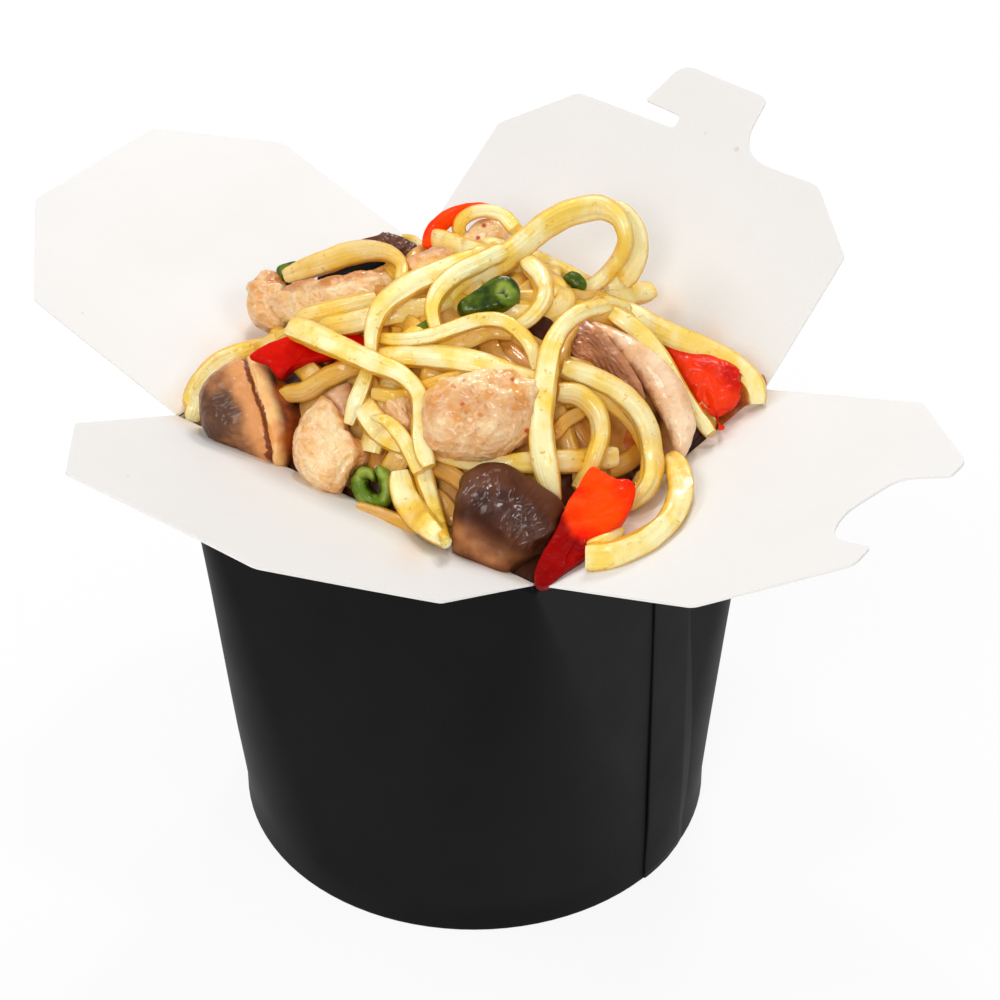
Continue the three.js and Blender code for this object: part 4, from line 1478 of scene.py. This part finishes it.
def onion_paint(place):
    """Pale layers drawn out along the strip, brown where it is shaded"""
    broad = grain(stretched(place, 1, 1, 3), 160, 3)
    pale = mixed(between(broad, 0.3, 0.7), srgb(150, 88, 52), srgb(226, 176, 132))
    brown = mixed(between(broad, 0.3, 0.7), srgb(170, 72, 14), srgb(222, 130, 56))
    return {
        # Painted shade in part: the strips by the right wall are painted brown
        "Base Color": mixed(attribute(place, "shade"), pale, brown),
        "Roughness": 0.22 + 0.15 * broad,
        "Specular IOR Level": 0.6,
        "Normal": raised(broad, 0.0004),
    }


ONION = (surface("fried_onion", onion_paint), skin_relief)

build_topping(
    "onion_right", ONION,
    chunk([
        (607, 425), (622, 424), (636, 434), (640, 446), (632, 456), (618, 450), (609, 440),
    ], lift=-2.5, front=0.9, back=3),
    shade=beyond([(600, 300), (600, 500)]),
)
build_topping(
    "onion_edge", ONION,
    chunk([
        (704, 404), (724, 394), (748, 380), (764, 371), (771, 384), (758, 404), (740, 422),
        (722, 438), (710, 424),
    ], lift=0, front=2, back=3),
    shade=beyond([(600, 300), (600, 500)]),
)
build_topping(
    "onion_left", ONION,
    chunk([
        (327, 395), (340, 385), (351, 383), (352, 400), (345, 418), (335, 410),
    ], lift=1, front=2, back=3),
)

# The noodles: thick wheat noodles, flat oval in section and cut square at their ends. Those that
# show in front follow routes of their own. All round and below them others wander over the
# heap, and those lowest are browner, with sauce and with painted shade.

NOODLE_WIDE = 5.2 * MM
NOODLE_THICK = 3.8 * MM
NOODLE_SIDES = 18
NOODLE_STEP = 1.1 * MM
NOODLE_ROUND = 3.2
NOODLE_FULL = 1.08
NOODLE_ROLL = 0.9
NOODLE_TWIST = 0.5
NOODLE_SWELLS = 0.06
NOODLE_DENTS = 0.07
RIBS = 5
RIB_HEIGHT = 0.05
TIP_SIZES = (0.86, 0.97)
SEED_X = 9.17
SEED_Y = 5.31
SEED_Z = 4.2

LYING = {
    # (column, row, lift above the heap in mm, width in squares)
    "long_pale": [
        (520, 247, 3, 20), (480, 257, 4, 20), (440, 271, 4.5, 21), (405, 288, 5.5, 23),
        (381, 308, 6.5, 21), (372, 332, 6, 15), (371, 352, 3.5, 12), (366, 376, 1.5, 14),
        (357, 400, 2.5, 16), (349, 424, 3.5, 12),
    ],
    "fold_under": [(376, 300, 2, 17), (345, 308, 3, 20), (318, 315, 4, 21), (300, 320, 5, 20)],
    "fold_over": [
        (292, 327, 8, 23), (315, 336, 8, 24), (345, 350, 7.5, 22), (372, 362, 7, 20),
        (400, 374, 6.5, 17), (417, 391, 6, 16), (421, 412, 6, 17), (421, 435, 6.5, 18),
        (424, 452, 7, 19), (429, 467, 7, 15),
    ],
    "across_top": [
        (374, 338, 2.5, 11), (402, 340, 4, 13), (432, 336, 5.5, 15), (458, 327, 6.5, 15),
        (482, 320, 7, 14), (502, 321, 7, 14), (518, 331, 7, 14), (532, 349, 5.5, 14),
        (537, 368, 3.5, 13),
    ],
    "across_middle": [
        (378, 357, 1.5, 18), (410, 356, 2.5, 21), (445, 358, 4, 23), (480, 364, 4, 22),
        (510, 374, 3, 21), (534, 380, 2, 18),
    ],
    "ring_outer": [
        (503, 252, 6, 18), (480, 262, 6.5, 18), (455, 275, 6, 18), (438, 292, 5, 17),
        (432, 312, 4, 14), (437, 332, 2, 12),
    ],
    "ring_right": [
        (528, 262, 4, 20), (541, 278, 3, 20), (544, 297, 2, 18), (533, 315, 1.5, 15),
        (516, 328, 1, 14),
    ],
    "down_right": [
        (606, 306, 7, 14), (582, 312, 8, 16), (563, 326, 8.5, 18), (551, 348, 8.5, 20),
        (546, 375, 8, 22), (543, 402, 7.5, 22), (541, 430, 7, 23), (544, 458, 6.5, 24),
        (550, 483, 5, 20), (558, 500, 3, 9),
    ],
    "loop_inner": [
        (557, 392, 3, 18), (578, 395, 4, 21), (596, 411, 5, 19), (601, 432, 5.2, 17),
        (596, 453, 4.5, 16), (588, 472, 1, 15), (576, 489, -1, 12),
    ],
    "loop_outer": [
        (561, 368, 4, 18), (587, 376, 4.5, 22), (612, 388, 5.5, 22), (633, 405, 6.5, 22),
        (646, 426, 7, 21), (651, 450, 7, 22), (652, 470, 6, 22), (647, 487, 4.5, 20),
        (634, 501, 2.5, 15), (622, 510, 1, 9),
    ],
    "loop_middle": [
        (580, 389, 1, 12), (607, 403, 2.5, 14), (628, 419, 3.5, 14), (643, 442, 4, 14),
        (648, 466, 3, 13), (642, 488, 2, 12),
    ],
    "beside_pepper": [
        (612, 313, 2, 16), (636, 330, 3, 18), (656, 352, 4, 18), (674, 380, 4, 16),
        (692, 408, 3.5, 14), (711, 434, 2.5, 13),
    ],
    "short_end": [
        (434, 453, 1, 12), (460, 461, 1, 14), (488, 466, 1, 16), (518, 463, 1.5, 20),
        (548, 462, 2, 22), (575, 461, 2, 22), (600, 458, 2, 22), (615, 457, 2, 22),
    ],
    "front_wide": [
        (400, 471, 4, 21), (403, 491, 4.5, 26), (414, 512, 4.5, 26), (430, 529, 4.5, 22),
        (446, 543, 4, 13),
    ],
    "front_thin": [
        (420, 458, 3.5, 18), (426, 482, 4, 18), (433, 504, 4.5, 14), (440, 526, 5, 12),
        (445, 540, 5, 9),
    ],
    "curl": [
        (372, 417, 5, 5), (387, 421, 5.5, 12), (401, 436, 6, 15), (412, 456, 5.5, 14),
        (419, 473, 5, 12),
    ],
    "broad": [(361, 394, 1, 20), (370, 416, 2, 25), (386, 434, 2.5, 25), (406, 447, 2, 18)],
    "behind_chicken": [
        (374, 393, 1, 13), (400, 396, 2, 14), (432, 384, 3, 13), (458, 377, 3, 13),
        (484, 373, 2, 12),
    ],
    "under_across": [
        (440, 350, 1, 16), (468, 341, 1.5, 17), (492, 332, 1.5, 16), (512, 334, 1, 14),
    ],
}

# Noodles painted brown, partly with sauce and partly as painted shade where they lie low in shadow
BROWNED_AND_SHADED = {
    "brown_left": [
        (272, 404, -1, 14), (288, 394, 1, 17), (305, 391, 2, 19), (325, 379, 2, 19),
        (348, 369, 2, 17), (368, 364, 1, 14),
    ],
    "brown_middle": [(434, 466, 0, 17), (450, 474, 0.5, 18), (468, 487, 0, 16)],
    "brown_low": [(436, 496, 0, 18), (447, 508, 0.5, 18), (456, 524, 0, 16)],
    "brown_right": [(553, 436, 0, 13), (566, 421, 0.5, 14), (580, 413, 0.5, 13)],
    "brown_ribbon": [(368, 378, -1, 18), (374, 398, -0.5, 19), (384, 420, -1, 18)],
    "brown_gap": [(606, 470, -2, 20), (625, 462, -1.5, 20), (645, 446, -2, 18)],
    "low_front": [(358, 507, 0, 12), (383, 515, 0.5, 13), (405, 524, 1, 14), (420, 531, 1, 12)],
    "brown_wall": [(696, 404, -1, 14), (708, 420, -0.5, 16), (722, 438, -1, 15)],
}

STANDING = {
    # (column, row, height above the folds in mm, width in squares)
    "high_loop": [
        (449, 312, 24, 13), (451, 297, 26.5, 16), (468, 280, 28, 20), (495, 265, 29.5, 23),
        (520, 246, 31.5, 24), (545, 226, 34, 25), (573, 212, 36, 25), (602, 208, 36, 23),
        (620, 219, 34.5, 16), (626, 239, 31, 14), (619, 258, 26, 14), (607, 274, 21.5, 14),
        (590, 288, 18, 15), (566, 297, 17, 16),
    ],
    "loop_partner": [
        (608, 203, 32, 8), (626, 211, 31, 12), (638, 230, 27.5, 15), (639, 252, 23.5, 18),
        (630, 272, 19, 21), (612, 287, 15.5, 22), (588, 297, 15, 20), (560, 303, 16, 17),
    ],
    "short_blob": [(651, 291, 11, 19), (630, 295, 13, 22), (606, 301, 15, 22)],
    "top_left": [
        (286, 276, 15, 15), (302, 270, 17, 19), (322, 263, 20, 21), (348, 254, 23, 22),
        (375, 251, 26, 19), (393, 256, 28, 15), (402, 267, 29, 12), (400, 282, 28.5, 12),
    ],
    "along_back": [
        (606, 305, 20, 20), (634, 317, 17.5, 23), (660, 331, 15, 24), (690, 344, 12.5, 24),
        (718, 356, 10, 23), (740, 369, 8, 22), (755, 387, 5.5, 21), (757, 404, 2.5, 18),
    ],
    "left_rim": [
        (188, 418, -1, 17), (192, 401, 2, 20), (202, 382, 5, 22), (219, 364, 7.5, 21),
        (240, 352, 9.5, 17), (262, 345, 10.5, 13), (284, 337, 12, 12),
    ],
    "top_peak": [(436, 239, 24.5, 21), (452, 245, 26, 22), (470, 250, 28, 20), (492, 256, 29, 17)],
    "top_arch": [
        (462, 240, 22, 12), (459, 225, 25.5, 13), (470, 214, 28, 13), (486, 211, 29.5, 13),
        (503, 216, 30, 14), (516, 230, 29, 15),
    ],
    "over_flap": [
        (672, 458, 4.5, 15), (678, 469, 6, 23), (681, 487, 6.8, 25), (677, 506, 7.4, 24),
        (665, 525, 7.8, 23), (645, 541, 7.6, 24), (621, 552, 7, 25), (603, 557, 6, 26),
        (587, 557, 5.5, 28),
    ],
    "under_pepper": [(588, 549, 4.5, 15), (604, 541, 5, 15), (621, 530, 4.5, 10)],
    "back_end": [(404, 238, 19, 8), (413, 240, 20, 9), (421, 247, 20.5, 9), (424, 256, 20, 9)],
}

# How far some noodles are browned: by sauce, and for those that lie low also as painted shade
TINTED = {
    "top_left": 0.12, "fold_under": 0.08, "short_end": 0.1, "loop_outer": 0.05, "loop_inner": 0.08,
    "under_across": 0.25, "behind_chicken": 0.25, "loop_middle": 0.25, "broad": 0.06,
    "brown_left": 0.4, "low_front": 0.55,
}

BROWN_SAUCE_AND_SHADE = 0.6
MOST_SAUCE_AND_SHADE = 0.75
SAUCE_AND_SHADE_DEEPEN = 5 * MM
FILLERS = 190
FILLER_LENGTH = 12
FILLER_STEP = 6 * MM
FILLER_TURN = 0.25
FILLER_DRIFT = 0.12
FILLER_SAUCE = 0.05
FILLER_LIFT = (-3.5, 1.5)
FILLER_STARTS = 5 * MM
FILLER_STOPS = 3.5 * MM
SHORTEST = 4
TOPPING_DEPTH = 25 * MM
HIDING_REACH = 80 * MM
HIDING_SHARE = 0.12
EASE_ROUNDS = 12
EASE_GAP = 3.4 * MM
EASE_SHARE = 0.2
EASE_STEP = 0.4 * MM
EASE_MOST = 2.2 * MM
EASE_SPAN = 7
NOODLE_SHARP = math.radians(50)
draw = np.random.default_rng(11)


def wandering():
    """A noodle that wanders over the heap at random"""
    x = draw.uniform(-HALF_X + FILLER_STARTS, HALF_X - FILLER_STARTS)
    y = draw.uniform(-HALF_Y + FILLER_STARTS, HALF_Y - FILLER_STARTS)
    heading = draw.uniform(0, 2 * math.pi)
    turning = draw.normal(0, FILLER_TURN)
    lift = draw.uniform(*FILLER_LIFT) * MM
    points = []
    for _ in range(FILLER_LENGTH):
        if abs(x) > HALF_X - FILLER_STOPS or abs(y) > HALF_Y - FILLER_STOPS:
            break
        points.append(Vector((x, y, heap_top(x, y) + lift, NOODLE_WIDE)))
        heading += turning + draw.normal(0, FILLER_DRIFT)
        x += FILLER_STEP * math.cos(heading)
        y += FILLER_STEP * math.sin(heading)
    return points


def grid_size(p, squares):
    """So many grid squares as a length at a place"""
    return squares * -(p - EYE).dot(TOWARD_EYE) / GRID_REACH


def with_width(place, squares):
    """A place with its noodle's width there as a fourth number"""
    return Vector((*place, NOODLE_FULL * grid_size(place, squares)))


def strand_mesh(path, strand):
    """One noodle's skin: its points, its faces, and each point's place across and along it"""
    count = len(path)
    points = []
    across_share = []
    along_share = []
    seed = Vector((strand * SEED_X, strand * SEED_Y, SEED_Z))
    roll = NOODLE_ROLL * noise.noise(seed)
    for number, middle in enumerate(path):
        forward = (path[min(count - 1, number + 1)].xyz - path[max(0, number - 1)].xyz).normalized()
        across = forward.cross(TOWARD_EYE)
        across = (across + Vector((1e-4, 0, 0))).normalized()
        over = across.cross(forward)
        wide = middle.w * (1 + NOODLE_SWELLS * noise.noise(seed + middle.xyz * 90))
        thick = min(wide, NOODLE_THICK * (0.8 + 0.2 * wide / NOODLE_WIDE))
        tip = min(number, count - 1 - number)
        blunt = TIP_SIZES[tip] if tip < len(TIP_SIZES) else 1
        twist = roll + NOODLE_TWIST * noise.noise(seed - middle.xyz * 30)
        for side in range(NOODLE_SIDES):
            turn = 2 * math.pi * side / NOODLE_SIDES
            c, s = math.cos(turn), math.sin(turn)
            size = (abs(c) ** NOODLE_ROUND + abs(s) ** NOODLE_ROUND) ** (-1 / NOODLE_ROUND) * blunt
            size *= 1 + RIB_HEIGHT * math.sin(RIBS * turn + 6 * twist)
            dent = noise.noise(seed + middle.xyz * 330 + Vector((c, s, 0)) * 0.8)
            size *= 1 + NOODLE_DENTS * dent
            a, b = c * size * wide / 2, s * size * thick / 2
            spin_a = a * math.cos(twist) - b * math.sin(twist)
            spin_b = a * math.sin(twist) + b * math.cos(twist)
            points.append(middle.xyz + across * spin_a - over * spin_b)
            across_share.append(turn + seed.x)
            along_share.append(number * NOODLE_STEP * 100)
    faces = []
    for number in range(count - 1):
        for side in range(NOODLE_SIDES):
            low = number * NOODLE_SIDES + side
            after = number * NOODLE_SIDES + (side + 1) % NOODLE_SIDES
            faces.append((low, after, after + NOODLE_SIDES, low + NOODLE_SIDES))
    faces.append(tuple(reversed(range(NOODLE_SIDES))))
    last = (count - 1) * NOODLE_SIDES
    faces.append(tuple(range(last, last + NOODLE_SIDES)))
    return points, faces, across_share, along_share


def noodle_paint(place):
    """Pale yellow, gold in streaks and, as painted edge shade, at grazing angles; browner with more
    sauce and painted depth shade; with a faint painted glow
    """
    sauce_and_shade = attribute(place, "sauce_and_shade")
    across = attribute(place, "across")
    along = attribute(place, "along")
    way = place.node("ShaderNodeCombineXYZ", {}, {"X": across * 1.6, "Y": along * 0.35})
    streaks = grain(way, 1.2, 2)
    grazing = place.node("ShaderNodeLayerWeight", {}, {"Blend": 0.5}, "Facing")
    mottle = grain(place, 130, 3)
    patches = grain(place, 420, 3, 0.6)
    flecks = between(grain(place, 560, 2, 0.7), 0.64, 0.7)
    pale = mixed(between(mottle, 0.38, 0.66), srgb(255, 242, 184), srgb(250, 216, 98))
    # Painted shade: toward grazing angles the noodle turns deep gold, standing in for the saturated
    # shade at its translucent edges
    golden_tone_and_edge_shade = between(grazing * 0.75 + patches * 0.3 + streaks * 0.4, 0.5, 1.0)
    tone = mixed(golden_tone_and_edge_shade, pale, srgb(238, 178, 26))
    tone = mixed(between(grain(place, 260, 2), 0.62, 0.72) * 0.5, tone, srgb(250, 206, 60))
    tone = mixed(between(sauce_and_shade, 0, 0.2) * 0.6, tone, srgb(246, 196, 48))
    tone = mixed(sauce_and_shade, tone, mixed(mottle, srgb(140, 58, 6), srgb(224, 136, 36)))
    return {
        "Base Color": mixed(flecks * 0.55, tone, srgb(210, 150, 0)),
        "Roughness": 0.32 + 0.25 * patches,
        "Specular IOR Level": 0.3,
        "Coat Weight": 0.5,
        "Coat Roughness": 0.08,
        "Subsurface Weight": 0.25,
        "Subsurface Radius": (1.0, 0.75, 0.25),
        "Subsurface Scale": 0.0025,
        # Painted light: a faint glow in the noodle's own colour stands in for light passing through
        # it and lifts its shade
        "Emission Color": tone,
        "Emission Strength": 0.03,
        "Normal": raised(patches + 3 * streaks + 0.5 * grain(place, 1400, 2), 0.0002),
    }


def covered(point, trees):
    """Whether a place lies over one of the toppings, as the eye sees it"""
    return any(tree.ray_cast(point, -TOWARD_EYE, TOPPING_DEPTH)[0] for tree in trees)


def in_hollow(point, trees):
    """Whether a place lies in one of the heap's dark hollows, and no topping hides it"""
    spot = grid_of(point)
    if all((spot - Vector(hollow)).length >= HOLLOW_SIZE for hollow in HOLLOWS):
        return False
    toward = (EYE - point).normalized()
    return not any(tree.ray_cast(point, toward, HIDING_REACH)[0] for tree in trees)


def eased(strands):
    """Noodles that lie in one another are pushed apart, each along its own line of sight"""
    owner = [number for number, strand in enumerate(strands) for _ in strand]
    first = np.cumsum([0] + [len(strand) for strand in strands])
    places = [p.xyz for strand in strands for p in strand]
    rays = [(p - EYE).normalized() for p in places]
    total = [0.0] * len(places)
    for _ in range(EASE_ROUNDS):
        tree = KDTree(len(places))
        for index, p in enumerate(places):
            tree.insert(p, index)
        tree.balance()
        push = np.zeros(len(places))
        for index, p in enumerate(places):
            for _, other, distance in tree.find_range(p, EASE_GAP):
                if owner[other] == owner[index]:
                    continue
                away = 1 if (p - places[other]).dot(rays[index]) > 0 else -1
                push[index] += away * EASE_SHARE * (EASE_GAP - distance)
        for number in range(len(strands)):
            part = push[first[number]:first[number + 1]]
            if len(part) >= EASE_SPAN:
                padded = np.pad(part, EASE_SPAN // 2, mode="edge")
                part = np.convolve(padded, np.ones(EASE_SPAN) / EASE_SPAN, mode="valid")
            for offset, step in enumerate(part):
                index = first[number] + offset
                step = float(min(EASE_STEP, max(-EASE_STEP, step)))
                if abs(total[index] + step) < EASE_MOST:
                    total[index] += step
                    places[index] = places[index] + rays[index] * step
    moved = []
    for start, strand in zip(first, strands):
        places_now = [contained(p) for p in places[start:start + len(strand)]]
        moved.append([Vector((*place, p.w)) for place, p in zip(places_now, strand)])
    return moved


def shape_of(piece):
    """A piece as a tree that rays can be cast at"""
    mesh = piece.data
    return BVHTree.FromPolygons([v.co for v in mesh.vertices], [f.vertices for f in mesh.polygons])


def build_noodles():
    """Every noodle that is laid by its route, then the fillers that hide nothing, as one piece"""
    trees = [shape_of(piece) for piece in toppings]
    laid = [(LYING, on_heap, 0.0), (BROWNED_AND_SHADED, on_heap, BROWN_SAUCE_AND_SHADE), (STANDING, at_height, 0.0)]
    strands = []
    sauce_and_shade_amounts = []
    for routes, place_on, sauce_and_shade in laid:
        for name, route in routes.items():
            line = [with_width(place_on(*place), width) for *place, width in route]
            strands.append(smooth_line(line, NOODLE_STEP))
            sauce_and_shade_amounts.append(TINTED.get(name, sauce_and_shade))
    for _ in range(FILLERS):
        route = wandering()
        if len(route) < SHORTEST:
            continue
        path = smooth_line(route, NOODLE_STEP)
        hidden = sum(covered(p.xyz, trees) or in_hollow(p.xyz, trees) for p in path)
        if hidden > HIDING_SHARE * len(path):
            continue
        depth = sum(p.z - heap_top(p.x, p.y) for p in path) / len(path)
        strands.append(path)
        # The deeper a filler lies, the browner it is painted: sauce, and painted shade deep in the
        # heap
        sauce_and_shade_amounts.append(min(MOST_SAUCE_AND_SHADE, max(0, FILLER_SAUCE - depth / SAUCE_AND_SHADE_DEEPEN)))
    skins = [strand_mesh(path, number) for number, path in enumerate(eased(strands))]
    points, faces = joined((more, skin) for more, skin, _, _ in skins)
    noodles = mesh_object("noodle_strands", points, faces, [surface("wheat_noodle", noodle_paint)])
    per_vertex(noodles, "across", [value for _, _, across, _ in skins for value in across])
    per_vertex(noodles, "along", [value for _, _, _, along in skins for value in along])
    sauce_and_shade_skins = zip(sauce_and_shade_amounts, skins)
    per_vertex(noodles, "sauce_and_shade", [sauce_and_shade for sauce_and_shade, (more, _, _, _) in sauce_and_shade_skins for _ in more])
    noodles.data.set_sharp_from_angle(angle=NOODLE_SHARP)
    return noodles


noodles = build_noodles()
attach(noodles, "box")
